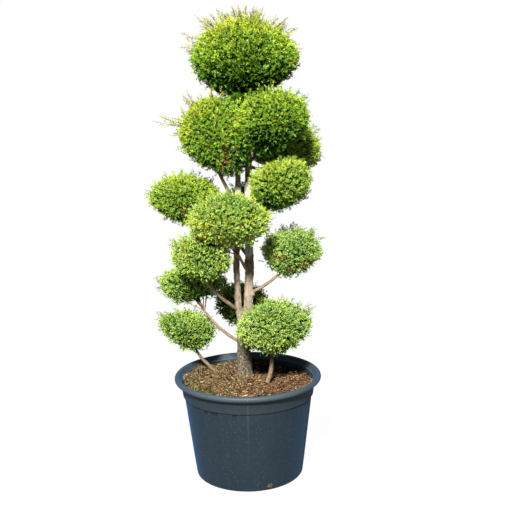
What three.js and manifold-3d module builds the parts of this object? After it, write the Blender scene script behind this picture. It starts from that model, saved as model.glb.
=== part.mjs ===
// A Chinese juniper clipped as a pompon topiary, standing in a round nursery pot.
// Two upright leaders rise from one flared foot, and each bough ends in its own clipped pompon.
// Millimetres, +Z up, +X to the right, -Y to the front. The origin is the middle of the pot's flat underside.
import * as THREE from "three";
import { mergeVertices } from "three/addons/utils/BufferGeometryUtils.js";
import Module from "manifold-3d";

const wasm = await Module();
wasm.setup();

// Pot: a tapered tub with a deeper collar under a rolled rim.
const POT_HEIGHT = 430;
const RIM_RADIUS = 309;
const ROLL_RADIUS = 11.5;
const COLLAR_TOP_RADIUS = 283;
const COLLAR_FOOT_RADIUS = 276;
const COLLAR_DEPTH = 59;
const COLLAR_STEP = 6;
const BASE_RADIUS = 227.5;
const BASE_CORNER = 8;
const POT_WALL = 5;
const POT_SEGMENTS = 32;
const DRAIN_RADIUS = 6;
const DRAIN_HEIGHT = 24;
const DRAIN_COUNT = 4;
const FIRST_DRAIN_DEG = -69;
const SLOT_HEIGHT = 7;
const SLOT_DEPTH = 2;
// Each slot under the collar: its bearing from straight ahead, and its width.
const SLOTS = [
  [-38.5, 18],
  [-29.5, 33],
  [-11.5, 19],
];

// Soil: heaped a little towards the left, sunk towards the right.
const SOIL_LEVEL = 394;
const SOIL_SLOPE = 0.03;
const SOIL_BUMP = 4;
const SOIL_RINGS = 4;
const SOIL_RADIUS = 274;
const SOIL_WAVES = [47, 39, 23, 31];

// Room between pieces that touch, and how deep a foot stands in the soil.
const CLEARANCE = 0.3;
const GRID = 0.01;
const CLEANING_PASSES = 3;
const FOOT_DEPTH = 8;

// Leaders: knots of [x, y, z, radius] up the middle of each stem.
const MAIN_LEADER = [
  [-15, 82, SOIL_LEVEL - FOOT_DEPTH, 29.5],
  [-17, 82, 494, 28.5],
  [-13, 81, 593, 27],
  [3, 80, 676, 19],
  [11, 80, 772, 17],
  [17, 80, 930, 16],
  [18, 79, 1169, 14.5],
  [22, 78, 1318, 13],
  [16, 70, 1457, 11.5],
  [11, 62, 1590, 9.5],
];
const LEFT_LEADER = [
  [-18, 80, 583, 14.5],
  [-32, 72, 683, 13.5],
  [-37, 58, 852, 12.5],
  [-35, 54, 991, 11.5],
  [-25, 66, 1190, 10.5],
  [-26, 84, 1309, 9],
  [-48, 150, 1375, 7.5],
];
const FLARE_RADIUS = 4;
const FLARE_HEIGHT = 26;
const FLUTING = 0.07;
const FLUTES = 3;
const BUTTRESSES = 5;
const TRUNK_SIDES = 10;
const TRUNK_STEPS = 20;
const LEFT_SIDES = 8;
const LEFT_STEPS = 14;
const BOUGH_SIDES = 6;
const BOUGH_STEPS = 5;

// Pompons. centre and foot are points; the foot is where the bough ends and the pompon's own stem begins.
// reach is [left-right, front-back, up, down]; power shapes the top and the underside, 2 being round.
// hang is how far the underside's lowest point lies to the right of the centre and behind it.
// shoots are the long ones that the shears missed: bearing from +X, rise, and length beyond the outline.
const POMPONS = [
  {
    name: "pompon_crown",
    centre: [25, 60, 1740],
    reach: [218, 205, 150, 177],
    power: [2.1, 1.6],
    tilt: -4,
    hang: [-9, 0],
    foot: [11, 62, 1590],
    sprays: 38,
    shoots: [
      [-171, 19, 54],
      [177, 38, 74],
      [-164, 39, 42],
      [161, 47, 61],
      [180, 58, 57],
      [-161, 72, 42],
      [118, 70, 54],
      [0, 89, 49],
      [-16, 69, 43],
      [0, 40, 46],
      [14, 28, 43],
      [-100, 50, 35],
      [70, 38, 45],
    ],
    seed: 23,
  },
  {
    name: "pompon_upper_left",
    centre: [-104, -20, 1435],
    reach: [130, 135, 156, 195],
    power: [2.2, 1.9],
    tilt: 25,
    hang: [0, 0],
    foot: [-104, -4, 1290],
    sprays: 27,
    shoots: [
      [180, 12, 105],
      [165, 58, 61],
      [-174, -1, 30],
    ],
    seed: 29,
  },
  {
    name: "pompon_upper_right",
    centre: [124, -100, 1494],
    reach: [138, 128, 107, 146],
    power: [2.2, 1.6],
    tilt: -4,
    hang: [-19, 20],
    foot: [74, -24, 1398],
    sprays: 25,
    shoots: [[-6, 46, 20], [16, 29, 24]],
    seed: 39,
  },
  {
    name: "pompon_upper_right_back",
    centre: [177, 200, 1370],
    reach: [160, 116, 127, 103],
    power: [2.4, 2.5],
    tilt: -3,
    hang: [11, 0],
    foot: [140, 158, 1300],
    sprays: 22,
    shoots: [[-4, 31, 19]],
    seed: 45,
  },
  {
    name: "pompon_upper_left_back",
    centre: [-84, 232, 1446],
    reach: [130, 110, 104, 104],
    power: [2.2, 1.6],
    tilt: 0,
    hang: [12, -30],
    foot: [-48, 150, 1375],
    sprays: 18,
    shoots: [[120, 50, 30]],
    seed: 53,
  },
  {
    name: "pompon_middle_left",
    centre: [-252, 60, 1175],
    reach: [152, 126, 97, 108],
    power: [2.0, 1.6],
    tilt: 2,
    hang: [8, 0],
    foot: [-196, 64, 1094],
    sprays: 23,
    shoots: [[18, 62, 32], [180, 12, 15]],
    seed: 71,
  },
  {
    name: "pompon_middle_right",
    centre: [146, -50, 1232],
    reach: [128, 120, 101, 100],
    power: [2.6, 2.0],
    tilt: 18,
    hang: [12, 14],
    foot: [108, -10, 1146],
    sprays: 22,
    shoots: [[30, 40, 25]],
    seed: 73,
  },
  {
    name: "pompon_middle_back",
    centre: [14, 250, 1120],
    reach: [108, 96, 84, 84],
    power: [2.2, 1.6],
    tilt: 0,
    hang: [0, -24],
    foot: [14, 190, 1052],
    sprays: 16,
    shoots: [],
    seed: 83,
  },
  {
    name: "pompon_front",
    centre: [-65, -150, 1099],
    reach: [165, 130, 108, 138],
    power: [3.0, 1.25],
    tilt: -10,
    hang: [-34, 30],
    foot: [-28, -66, 952],
    sprays: 27,
    shoots: [[-20, 10, 25], [-160, 45, 25]],
    seed: 103,
  },
  {
    name: "pompon_low_left",
    centre: [-178, -80, 946],
    reach: [125, 110, 89, 94],
    power: [3.0, 2.0],
    tilt: -8,
    hang: [4, 10],
    foot: [-168, -46, 845],
    sprays: 20,
    shoots: [[175, 30, 20]],
    seed: 111,
  },
  {
    name: "pompon_low_left_back",
    centre: [-228, 100, 801],
    reach: [144, 110, 60, 88],
    power: [2.9, 1.3],
    tilt: -8,
    hang: [-54, 0],
    foot: [-184, 90, 684],
    sprays: 20,
    shoots: [[180, -5, 20]],
    seed: 121,
  },
  {
    name: "pompon_right",
    centre: [200, 60, 942],
    reach: [128, 116, 96, 117],
    power: [2.5, 1.5],
    tilt: -4,
    hang: [-28, 0],
    foot: [143, 62, 843],
    sprays: 22,
    shoots: [
      [127, 54, 24],
      [75, 75, 26],
      [-12, 47, 34],
    ],
    seed: 127,
  },
  {
    name: "pompon_low_back",
    centre: [-20, 300, 665],
    reach: [129, 106, 76, 106],
    power: [2.8, 1.4],
    tilt: -18,
    hang: [-8, -30],
    foot: [-16, 216, 592],
    sprays: 16,
    shoots: [[20, 35, 25]],
    seed: 137,
  },
  {
    name: "pompon_foot_left",
    centre: [-257, 80, 613],
    reach: [127, 112, 62, 88],
    power: [2.9, 1.5],
    tilt: -12,
    hang: [34, 6],
    foot: [-221, 90, 504],
    sprays: 20,
    shoots: [[180, 29, 23], [-90, 77, 29]],
    seed: 151,
  },
  {
    name: "pompon_foot_right",
    centre: [121, -80, 658],
    reach: [154, 138, 102, 128],
    power: [1.9, 1.4],
    tilt: 7,
    hang: [-19, 20],
    foot: [101, -42, 505],
    sprays: 27,
    shoots: [
      [0, 25, 37],
      [-23, 55, 25],
      [170, 30, 20],
    ],
    seed: 163,
  },
];

// Boughs: the leader that each one leaves and at what height, the radii of its two ends, and how far its
// middle bows sideways, to the back and upwards. One with no leader rises from the soil at the point given.
const BOUGHS = [
  { name: "bough_upper_left", leader: "left", height: 1118, radii: [8.4, 6.2], bow: [6, 4, -12] },
  { name: "bough_upper_right", leader: "main", height: 1310, radii: [7.6, 5.8], bow: [4, 8, -10] },
  { name: "bough_upper_right_back", leader: "main", height: 1296, radii: [7.2, 5.4], bow: [0, 0, -16] },
  { name: "bough_middle_left", leader: "main", height: 908, radii: [7.6, 5.8], bow: [12, 56, 8] },
  { name: "bough_middle_right", leader: "main", height: 1060, radii: [7.4, 5.6], bow: [6, 0, -12] },
  { name: "bough_middle_back", leader: "main", height: 992, radii: [7, 5.2], bow: [0, 6, -16] },
  { name: "bough_front", leader: "main", height: 838, radii: [7.2, 5.2], bow: [2, -4, -4] },
  { name: "bough_low_left", leader: "left", height: 688, radii: [8, 5.6], bow: [-4, -6, -10] },
  { name: "bough_low_left_back", leader: "main", height: 538, radii: [6.8, 4.8], bow: [0, -4, -21] },
  { name: "bough_right", leader: "main", height: 756, radii: [7.2, 5.4], bow: [2, 0, -8] },
  { name: "bough_low_back", leader: "main", height: 532, radii: [7.2, 5.4], bow: [0, 6, -12] },
  { name: "stem_foot_left", soil: [-128, 112], radii: [8, 5.8], bow: [-6, 2, -6] },
  { name: "stem_foot_right", soil: [77, -28], radii: [11.5, 8.5], bow: [8, 0, 4] },
];

// Foliage: shares of a pompon's outline that its dense core, its sprays' roots and their tips lie at.
const CORE_SHARE = 0.93;
const ROOT_SHARE = 0.86;
const TIP_SHARE = 1.03;
const SHOOT_SHARE = 0.8;
const CORE_ROUGHNESS = 0.07;
const FINE_CORE_REACH = 200;
const LUMP_COUNT = 5;
const LUMP_SIZE = 0.035;
const OWN_SPACE = 0.05;
const LIMB_SPACE = 14;

// Sprays and shoots: blades that lean upwards and scatter a little.
const SPRAY_LENGTH = 46;
const SPRAY_WIDTH = 30;
const SPRAY_THICKNESS = 7;
const SPRAY_LIFT = 0.3;
const SPRAY_SCATTER = 0.45;
const SHOOT_WIDTH = 13;

// A pompon's own stem and twigs, as shares of the bough's end and of the pompon's reach.
const STEM_SHARES = [0.9, 0.4];
const TWIG_SHARES = [0.55, 0.3];
const STEM_SIDES = 5;
const TWIG_SIDES = 3;
const TWIG_COUNT = 3;
const TWIG_REACH = 0.5;

// Each kind of growth draws its own numbers from the pompon's seed.
const STREAM = { roughness: 50, twigs: 100, shoots: 200, sprays: 300 };

const BARK = new THREE.MeshStandardMaterial({ color: 0x8f7d66, roughness: 0.95, metalness: 0 });
const POT_PLASTIC = new THREE.MeshStandardMaterial({ color: 0x2c343c, roughness: 0.5, metalness: 0 });
const MULCH = new THREE.MeshStandardMaterial({ color: 0x7d6144, roughness: 1, metalness: 0 });
const FOLIAGE = new THREE.MeshStandardMaterial({ color: 0x7ea23a, roughness: 0.75, metalness: 0 });

const UP = new THREE.Vector3(0, 0, 1);
const vector = ([x, y, z]) => new THREE.Vector3(x, y, z);

// A linear congruential generator, so that every run grows the same plant.
function seeded(seed) {
  let state = seed >>> 0;
  return () => {
    state = (Math.imul(state, 1664525) + 1013904223) >>> 0;
    return state / 4294967296;
  };
}

// A random unit vector, even over the sphere.
function randomDirection(random) {
  const z = 2 * random() - 1;
  const turn = 2 * Math.PI * random();
  const ring = Math.sqrt(1 - z * z);
  return new THREE.Vector3(ring * Math.cos(turn), ring * Math.sin(turn), z);
}

// A closed geometry as a solid that can be joined and cut.
function solid(geometry) {
  const bare = geometry.clone();
  bare.deleteAttribute("normal");
  bare.deleteAttribute("uv");
  const merged = mergeVertices(bare, 1e-3);
  return new wasm.Manifold(
    new wasm.Mesh({
      numProp: 3,
      vertProperties: merged.getAttribute("position").array,
      triVerts: new Uint32Array(merged.index.array),
    }),
  );
}

// The largest body of a solid as a geometry, on a fine grid, without loose scraps or sealed hollows.
function bodyGeometry(shape) {
  const bodies = shape.decompose().sort((a, b) => b.volume() - a.volume());
  const { numProp, vertProperties, triVerts } = bodies[0].getMesh();
  const positions = new Float32Array((vertProperties.length / numProp) * 3);
  for (let i = 0; i < positions.length / 3; i++) {
    const corner = Array.from(vertProperties.subarray(i * numProp, i * numProp + 3));
    positions.set(corner.map((value) => Math.round(value / GRID) * GRID), i * 3);
  }
  const geometry = new THREE.BufferGeometry();
  geometry.setAttribute("position", new THREE.BufferAttribute(positions, 3));
  geometry.setIndex(new THREE.BufferAttribute(new Uint32Array(triVerts), 1));
  return geometry;
}

// A solid as a named mesh. Corners that lie together are joined, and what that pinches off is dropped.
function meshOf(name, shape, material) {
  let geometry = bodyGeometry(shape);
  for (let pass = 0; pass < CLEANING_PASSES; pass++) {
    geometry = bodyGeometry(solid(geometry));
  }
  geometry.computeVertexNormals();
  const mesh = new THREE.Mesh(geometry, material);
  mesh.name = name;
  return mesh;
}

// A geometry from its corners and faces, for the shapes that have only a few.
function facetedGeometry(corners, faces) {
  const geometry = new THREE.BufferGeometry();
  geometry.setAttribute("position", new THREE.Float32BufferAttribute(corners.flatMap((p) => p.toArray()), 3));
  geometry.setIndex(faces.flat());
  return geometry;
}

// A profile of [radius, height] pairs turned about the upright axis.
function turned(profile, segments) {
  const points = profile.map(([radius, height]) => new THREE.Vector2(radius, height));
  return new THREE.LatheGeometry(points, segments).rotateX(Math.PI / 2);
}

// An arc of [radius, height] points about a centre, from one angle to another in degrees.
function arc([radius, height], size, from, to, steps) {
  return Array.from({ length: steps + 1 }, (_, i) => {
    const angle = THREE.MathUtils.degToRad(from + ((to - from) * i) / steps);
    return [radius + size * Math.cos(angle), height + size * Math.sin(angle)];
  });
}

const COLLAR_TOP = POT_HEIGHT - 2 * ROLL_RADIUS;
const COLLAR_FOOT = COLLAR_TOP - COLLAR_DEPTH;

// The wall's outer radius under the collar at a height.
function wallRadius(height) {
  return THREE.MathUtils.mapLinear(height, 0, COLLAR_FOOT, BASE_RADIUS, COLLAR_FOOT_RADIUS - COLLAR_STEP);
}

// The pot's inside from its floor to its collar, drawn in by a hair for what fills it.
function insideProfile(hair = 0) {
  const inset = POT_WALL + hair;
  return [
    [0, inset],
    [BASE_RADIUS - BASE_CORNER - hair, inset],
    [BASE_RADIUS - inset, BASE_CORNER + inset],
    [COLLAR_FOOT_RADIUS - COLLAR_STEP - inset, COLLAR_FOOT + hair],
    [COLLAR_FOOT_RADIUS - inset, COLLAR_FOOT + COLLAR_STEP + hair],
  ];
}

// The open tub with its rolled rim, its drain holes and the slots under its collar.
function potSolid() {
  const rollMiddle = [RIM_RADIUS - ROLL_RADIUS, POT_HEIGHT - ROLL_RADIUS];
  const profile = [
    [0, 0],
    ...arc([BASE_RADIUS - BASE_CORNER, BASE_CORNER], BASE_CORNER, -90, 0, 2),
    [wallRadius(COLLAR_FOOT), COLLAR_FOOT],
    [COLLAR_FOOT_RADIUS, COLLAR_FOOT + COLLAR_STEP],
    [COLLAR_TOP_RADIUS, COLLAR_TOP],
    ...arc(rollMiddle, ROLL_RADIUS, -90, 180, 6),
    [COLLAR_TOP_RADIUS - POT_WALL, COLLAR_TOP],
    ...insideProfile().reverse(),
  ];
  const cuts = [];
  for (let i = 0; i < DRAIN_COUNT; i++) {
    const bearing = THREE.MathUtils.degToRad(FIRST_DRAIN_DEG + (360 * i) / DRAIN_COUNT);
    const drill = new THREE.CylinderGeometry(DRAIN_RADIUS, DRAIN_RADIUS, 6 * POT_WALL, 6);
    drill.rotateZ(Math.PI / 2).translate(wallRadius(DRAIN_HEIGHT), 0, DRAIN_HEIGHT);
    cuts.push(solid(drill.rotateZ(bearing)));
  }
  for (const [bearing, width] of SLOTS) {
    const height = COLLAR_FOOT - SLOT_HEIGHT;
    const cutter = new THREE.BoxGeometry(2 * SLOT_DEPTH, width, SLOT_HEIGHT);
    cutter.translate(wallRadius(height) * Math.cos(Math.PI / POT_SEGMENTS), 0, height);
    cuts.push(solid(cutter.rotateZ(THREE.MathUtils.degToRad(bearing - 90))));
  }
  return solid(turned(profile, POT_SEGMENTS)).subtract(wasm.Manifold.union(cuts));
}

// The soil's height at a place in the pot.
function soilHeight(x, y) {
  const [broad, deep, fine, slant] = SOIL_WAVES;
  const bumps = Math.sin(x / broad + 1) * Math.cos(y / deep) + 0.6 * Math.sin(x / fine - y / slant);
  return SOIL_LEVEL - SOIL_SLOPE * x + SOIL_BUMP * bumps;
}

// The filling, a hair smaller than the pot's inside, with a heaped top.
function soilSolid() {
  const profile = insideProfile(CLEARANCE);
  for (let ring = SOIL_RINGS; ring >= 0; ring--) {
    profile.push([(SOIL_RADIUS * ring) / SOIL_RINGS, SOIL_LEVEL]);
  }
  const geometry = turned(profile, POT_SEGMENTS);
  const position = geometry.getAttribute("position");
  for (let i = 0; i < position.count; i++) {
    if (position.getZ(i) > SOIL_LEVEL - 1) {
      position.setZ(i, soilHeight(position.getX(i), position.getY(i)));
    }
  }
  return solid(geometry);
}

// A smooth centreline through knots of [x, y, z, radius], with the radius along it.
function knottedLimb(knots) {
  const curve = new THREE.CatmullRomCurve3(knots.map(vector), false, "centripetal");
  const last = knots.length - 1;
  const radiusAt = (t) => {
    const i = Math.min(Math.floor(t * last), last - 1);
    return THREE.MathUtils.lerp(knots[i][3], knots[i + 1][3], t * last - i);
  };
  return { curve, radiusAt };
}

// The point of a leader's centreline at a height.
function pointAtHeight({ curve }, height) {
  let low = 0;
  let high = 1;
  for (let i = 0; i < 30; i++) {
    const middle = (low + high) / 2;
    if (curve.getPoint(middle).z < height) low = middle;
    else high = middle;
  }
  return curve.getPoint(low);
}

// A closed tapering limb of a number of sides, wider and longer by grow on every side.
function limbSolid({ curve, radiusAt, sides, steps, flare = 0 }, grow = 0) {
  const corners = [];
  let across = new THREE.Vector3(0, 1, 0);
  const cover = grow / Math.cos(Math.PI / sides);
  for (let i = 0; i <= steps; i++) {
    const t = i / steps;
    const along = curve.getTangent(t);
    const middle = curve.getPoint(t);
    if (i === 0) middle.addScaledVector(along, -grow);
    if (i === steps) middle.addScaledVector(along, grow);
    const side = new THREE.Vector3().crossVectors(across, along).normalize();
    across = new THREE.Vector3().crossVectors(along, side);
    const swelling = flare * Math.exp(-(middle.z - SOIL_LEVEL) / FLARE_HEIGHT);
    for (let k = 0; k < sides; k++) {
      const turn = (2 * Math.PI * k) / sides;
      const flutes = flare ? 1 + FLUTING * Math.cos(FLUTES * turn + 2 * t) : 1;
      const buttress = swelling * (1 + 0.5 * Math.cos(BUTTRESSES * turn));
      const radius = radiusAt(t) * flutes + buttress + cover;
      const spoke = side.clone().multiplyScalar(Math.cos(turn)).addScaledVector(across, Math.sin(turn));
      corners.push(middle.clone().addScaledVector(spoke, radius));
    }
  }
  const faces = [];
  for (let i = 0; i < steps; i++) {
    for (let k = 0; k < sides; k++) {
      const [a, b] = [i * sides + k, i * sides + ((k + 1) % sides)];
      faces.push([a, b, b + sides], [a, b + sides, a + sides]);
    }
  }
  const lastRing = steps * sides;
  for (let k = 1; k < sides - 1; k++) {
    faces.push([0, k + 1, k], [lastRing, lastRing + k, lastRing + k + 1]);
  }
  return solid(facetedGeometry(corners, faces));
}

// A limb's measures from one point to another, bowed in its middle.
function bowedLimb(start, end, bow, [startRadius, endRadius], sides, steps) {
  const middle = start.clone().lerp(end, 0.5).addScaledVector(vector(bow), 2);
  const curve = new THREE.QuadraticBezierCurve3(start, middle, end);
  const radiusAt = (t) => THREE.MathUtils.lerp(startRadius, endRadius, t);
  return { curve, radiusAt, sides, steps };
}

// A bough's measures, from its leader or the soil to its pompon's foot.
function boughLimb(bough, leaders, pompon) {
  const foot = vector(pompon.foot);
  const start = bough.soil
    ? new THREE.Vector3(...bough.soil, soilHeight(...bough.soil) - FOOT_DEPTH)
    : pointAtHeight(leaders[bough.leader], bough.height);
  return bowedLimb(start, foot, bough.bow, bough.radii, BOUGH_SIDES, BOUGH_STEPS);
}

// The pompon's swellings: a few broad waves over its surface.
function lumpsOf(pompon) {
  const random = seeded(pompon.seed);
  return Array.from({ length: LUMP_COUNT }, () => ({
    wave: randomDirection(random).multiplyScalar(2 + 3 * random()),
    phase: 2 * Math.PI * random(),
  }));
}

// A direction turned between the plant's frame and the pompon's own, which leans by its tilt.
function leaned(pompon, direction, way) {
  const angle = THREE.MathUtils.degToRad(pompon.tilt) * way;
  const [c, s] = [Math.cos(angle), Math.sin(angle)];
  return new THREE.Vector3(direction.x * c - direction.z * s, direction.y, direction.x * s + direction.z * c);
}

// How far the pompon's outline lies from its centre in a direction.
function outline(pompon, direction) {
  const own = leaned(pompon, direction, -1);
  const [across, deep, up, down] = pompon.reach;
  const upright = own.z > 0 ? up : down;
  const power = own.z > 0 ? pompon.power[0] : pompon.power[1];
  const below = Math.min(own.z, 0) / down;
  const [right, behind] = pompon.hang;
  const level = Math.hypot((own.x + below * right) / across, (own.y + below * behind) / deep);
  const smooth = (level ** power + Math.abs(own.z / upright) ** power) ** (-1 / power);
  const lump = pompon.lumps.reduce((sum, { wave, phase }) => sum + Math.sin(wave.dot(own) + phase), 0);
  return smooth * (1 + LUMP_SIZE * lump);
}

// 0 at the pompon's centre and 1 on its outline.
function fill(pompon, point) {
  const offset = point.clone().sub(vector(pompon.centre));
  const distance = offset.length();
  return distance < 1e-6 ? 0 : distance / outline(pompon, offset.divideScalar(distance));
}

// Whether a point is nearer this pompon than any other.
function inOwnSpace(pompon, point) {
  const mine = fill(pompon, point) + OWN_SPACE;
  return POMPONS.every((other) => other === pompon || fill(other, point) > mine);
}

// The outline, drawn in where a neighbour's foliage begins.
function ownReach(pompon, direction) {
  let distance = outline(pompon, direction);
  const centre = vector(pompon.centre);
  while (distance > 20 && !inOwnSpace(pompon, centre.clone().addScaledVector(direction, distance))) {
    distance *= 0.96;
  }
  return distance;
}

// The dense heart of a pompon, faceted like clipped foliage.
function coreSolid(pompon) {
  const detail = pompon.reach[0] > FINE_CORE_REACH ? 3 : 2;
  const geometry = mergeVertices(bareSphere(detail), 1e-3);
  const position = geometry.getAttribute("position");
  const random = seeded(pompon.seed + STREAM.roughness);
  for (let i = 0; i < position.count; i++) {
    const direction = new THREE.Vector3().fromBufferAttribute(position, i).normalize();
    const distance = ownReach(pompon, direction) * CORE_SHARE * (1 - CORE_ROUGHNESS * random());
    const corner = vector(pompon.centre).addScaledVector(direction, distance);
    position.setXYZ(i, ...corner.toArray());
  }
  return solid(geometry);
}

// A unit sphere of even triangles.
function bareSphere(detail) {
  const geometry = new THREE.IcosahedronGeometry(1, detail);
  geometry.deleteAttribute("normal");
  geometry.deleteAttribute("uv");
  return geometry;
}

// A spray of scale leaves: a toothed blade, ridged on one face, from its root along a direction.
function spraySolid(root, direction, random, length, width) {
  const side = randomDirection(random).cross(direction).normalize();
  const face = new THREE.Vector3().crossVectors(direction, side);
  const at = (along, sideways, out = 0) =>
    root
      .clone()
      .addScaledVector(direction, along * length)
      .addScaledVector(side, sideways * width)
      .addScaledVector(face, out * SPRAY_THICKNESS);
  const corners = [at(0, 0), at(0.74, 0.5), at(0.8, 0.12), at(1, -0.06), at(0.62, -0.46), at(0.66, 0, 1)];
  const faces = [];
  for (let i = 0; i < 5; i++) {
    faces.push([(i + 1) % 5, i, 5]);
  }
  faces.push([0, 1, 2], [0, 2, 3], [0, 3, 4]);
  return solid(facetedGeometry(corners, faces));
}

// Directions spread evenly over the sphere, with a little seeded scatter.
function evenDirections(count, random) {
  const goldenTurn = Math.PI * (3 - Math.sqrt(5));
  return Array.from({ length: count }, (_, i) => {
    const z = 1 - (2 * i + 1) / count;
    const ring = Math.sqrt(1 - z * z);
    const spot = new THREE.Vector3(ring * Math.cos(i * goldenTurn), ring * Math.sin(i * goldenTurn), z);
    return spot.addScaledVector(randomDirection(random), 0.12).normalize();
  });
}

// The sprays that stand out of the core. One that would leave the pompon's space or touch a limb is skipped.
function spraySolids(pompon, isFree) {
  const random = seeded(pompon.seed + STREAM.sprays);
  const centre = vector(pompon.centre);
  const made = [];
  for (const direction of evenDirections(pompon.sprays, random)) {
    const length = SPRAY_LENGTH * (0.85 + 0.35 * random());
    const scatter = randomDirection(random).multiplyScalar(SPRAY_SCATTER);
    const lean = direction.clone().addScaledVector(UP, SPRAY_LIFT).add(scatter).normalize();
    const tip = centre.clone().addScaledVector(direction, outline(pompon, direction) * TIP_SHARE);
    const root = tip.clone().addScaledVector(lean, -length);
    if (inOwnSpace(pompon, tip) && fill(pompon, root) < ROOT_SHARE && isFree(tip) && isFree(root)) {
      made.push(spraySolid(root, lean, random, length, SPRAY_WIDTH));
    }
  }
  return made;
}

// The long shoots: slim toothed blades that reach well out of the outline.
function shootSolids(pompon) {
  const random = seeded(pompon.seed + STREAM.shoots);
  const centre = vector(pompon.centre);
  const made = [];
  for (const [bearing, rise, beyond] of pompon.shoots) {
    const [turn, lift] = [bearing, rise].map(THREE.MathUtils.degToRad);
    const level = Math.cos(lift);
    const direction = new THREE.Vector3(level * Math.cos(turn), level * Math.sin(turn), Math.sin(lift));
    const reach = outline(pompon, direction);
    const root = centre.clone().addScaledVector(direction, SHOOT_SHARE * reach);
    const tip = centre.clone().addScaledVector(direction, reach + beyond);
    if (inOwnSpace(pompon, tip)) {
      made.push(spraySolid(root, direction, random, root.distanceTo(tip), SHOOT_WIDTH));
    }
  }
  return made;
}

// The stem that carries the pompon on from its bough, and the twigs that fork from it into the core.
function stemSolids(pompon, bough) {
  const foot = vector(pompon.foot);
  const centre = vector(pompon.centre);
  const [across, deep] = pompon.reach;
  const arriving = bough.curve.getTangent(1);
  const radius = bough.radiusAt(1);
  const random = seeded(pompon.seed + STREAM.twigs);
  const start = foot.clone().addScaledVector(arriving, -0.6 * radius);
  const fork = foot.clone().addScaledVector(arriving, 0.8 * radius);
  const bow = arriving.clone().multiplyScalar(0.12 * centre.distanceTo(foot));
  const stemRadii = STEM_SHARES.map((share) => share * radius);
  const twigRadii = TWIG_SHARES.map((share) => share * radius);
  const made = [limbSolid(bowedLimb(start, centre, bow.toArray(), stemRadii, STEM_SIDES, 2))];
  for (let i = 0; i < TWIG_COUNT; i++) {
    const turn = (2 * Math.PI * (i + 0.6 * random())) / TWIG_COUNT;
    const outwards = new THREE.Vector3(Math.cos(turn) * across, Math.sin(turn) * deep, 0);
    const end = centre.clone().addScaledVector(outwards, TWIG_REACH);
    made.push(limbSolid(bowedLimb(fork, end, [0, 0, 0], twigRadii, TWIG_SIDES, 1)));
  }
  return made;
}

// One pompon: its core, stem, twigs, sprays and long shoots in one solid, cut clear of every limb.
function pomponSolid(pompon, bough, limbs) {
  const samples = limbs.flatMap(({ curve, radiusAt }) =>
    Array.from({ length: 41 }, (_, i) => ({ point: curve.getPoint(i / 40), radius: radiusAt(i / 40) })),
  );
  const isFree = (place) =>
    samples.every(({ point, radius }) => point.distanceTo(place) > radius + LIMB_SPACE);
  const pieces = [
    coreSolid(pompon),
    ...stemSolids(pompon, bough),
    ...spraySolids(pompon, isFree),
    ...shootSolids(pompon),
  ];
  const cutters = limbs.map((limb) => limbSolid(limb, CLEARANCE));
  return wasm.Manifold.union(pieces).subtract(wasm.Manifold.union(cutters));
}

for (const pompon of POMPONS) {
  pompon.lumps = lumpsOf(pompon);
}

const leaders = {
  main: { ...knottedLimb(MAIN_LEADER), sides: TRUNK_SIDES, steps: TRUNK_STEPS, flare: FLARE_RADIUS },
  left: { ...knottedLimb(LEFT_LEADER), sides: LEFT_SIDES, steps: LEFT_STEPS },
};
const pomponNamed = (name) => POMPONS.find((pompon) => pompon.name === `pompon_${name}`);
const boughs = BOUGHS.map((bough) => {
  const carries = bough.name.replace(/^(bough|stem)_/, "");
  return { ...bough, carries, ...boughLimb(bough, leaders, pomponNamed(carries)) };
});
const carrierOf = {
  pompon_crown: leaders.main,
  pompon_upper_left_back: leaders.left,
  ...Object.fromEntries(boughs.map((bough) => [`pompon_${bough.carries}`, bough])),
};
const limbs = [leaders.main, leaders.left, ...boughs];

const plant = new THREE.Group();
const grownMain = limbSolid(leaders.main, CLEARANCE);
const grownLeaders = grownMain.add(limbSolid(leaders.left, CLEARANCE));
plant.add(meshOf("trunk_main", limbSolid(leaders.main), BARK));
plant.add(meshOf("trunk_left", limbSolid(leaders.left).subtract(grownMain), BARK));
for (const bough of boughs) {
  plant.add(meshOf(bough.name, limbSolid(bough).subtract(grownLeaders), BARK));
}
for (const pompon of POMPONS) {
  plant.add(meshOf(pompon.name, pomponSolid(pompon, carrierOf[pompon.name], limbs), FOLIAGE));
}

const pot = new THREE.Group();
const rooted = [leaders.main, ...boughs.filter((bough) => bough.soil)];
const sockets = wasm.Manifold.union(rooted.map((limb) => limbSolid(limb, CLEARANCE)));
pot.add(meshOf("pot", potSolid(), POT_PLASTIC));
pot.add(meshOf("soil", soilSolid().subtract(sockets), MULCH));

const topiary = new THREE.Group();
topiary.add(pot, plant);

export default topiary;
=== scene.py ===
"""Looks of a potted juniper topiary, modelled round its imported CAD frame.

The tub, the mulch, the bark and every pompon's twigs and leaves are made here and stand for the
frame's solids. The plan of the plant is in millimetres, as in the part's source, and grows by the
same rule from the same seeds. Meshes are made in metres.
"""

import logging
import math
from collections.abc import Sequence
from dataclasses import dataclass
from enum import Enum
from functools import cached_property
from typing import ClassVar

import bmesh
import bpy
import numpy as np
from bmesh.types import BMesh
from bpy.types import Material, Node, NodeSocket, NodeTree, Object
from mathutils import Matrix, Vector, noise


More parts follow.
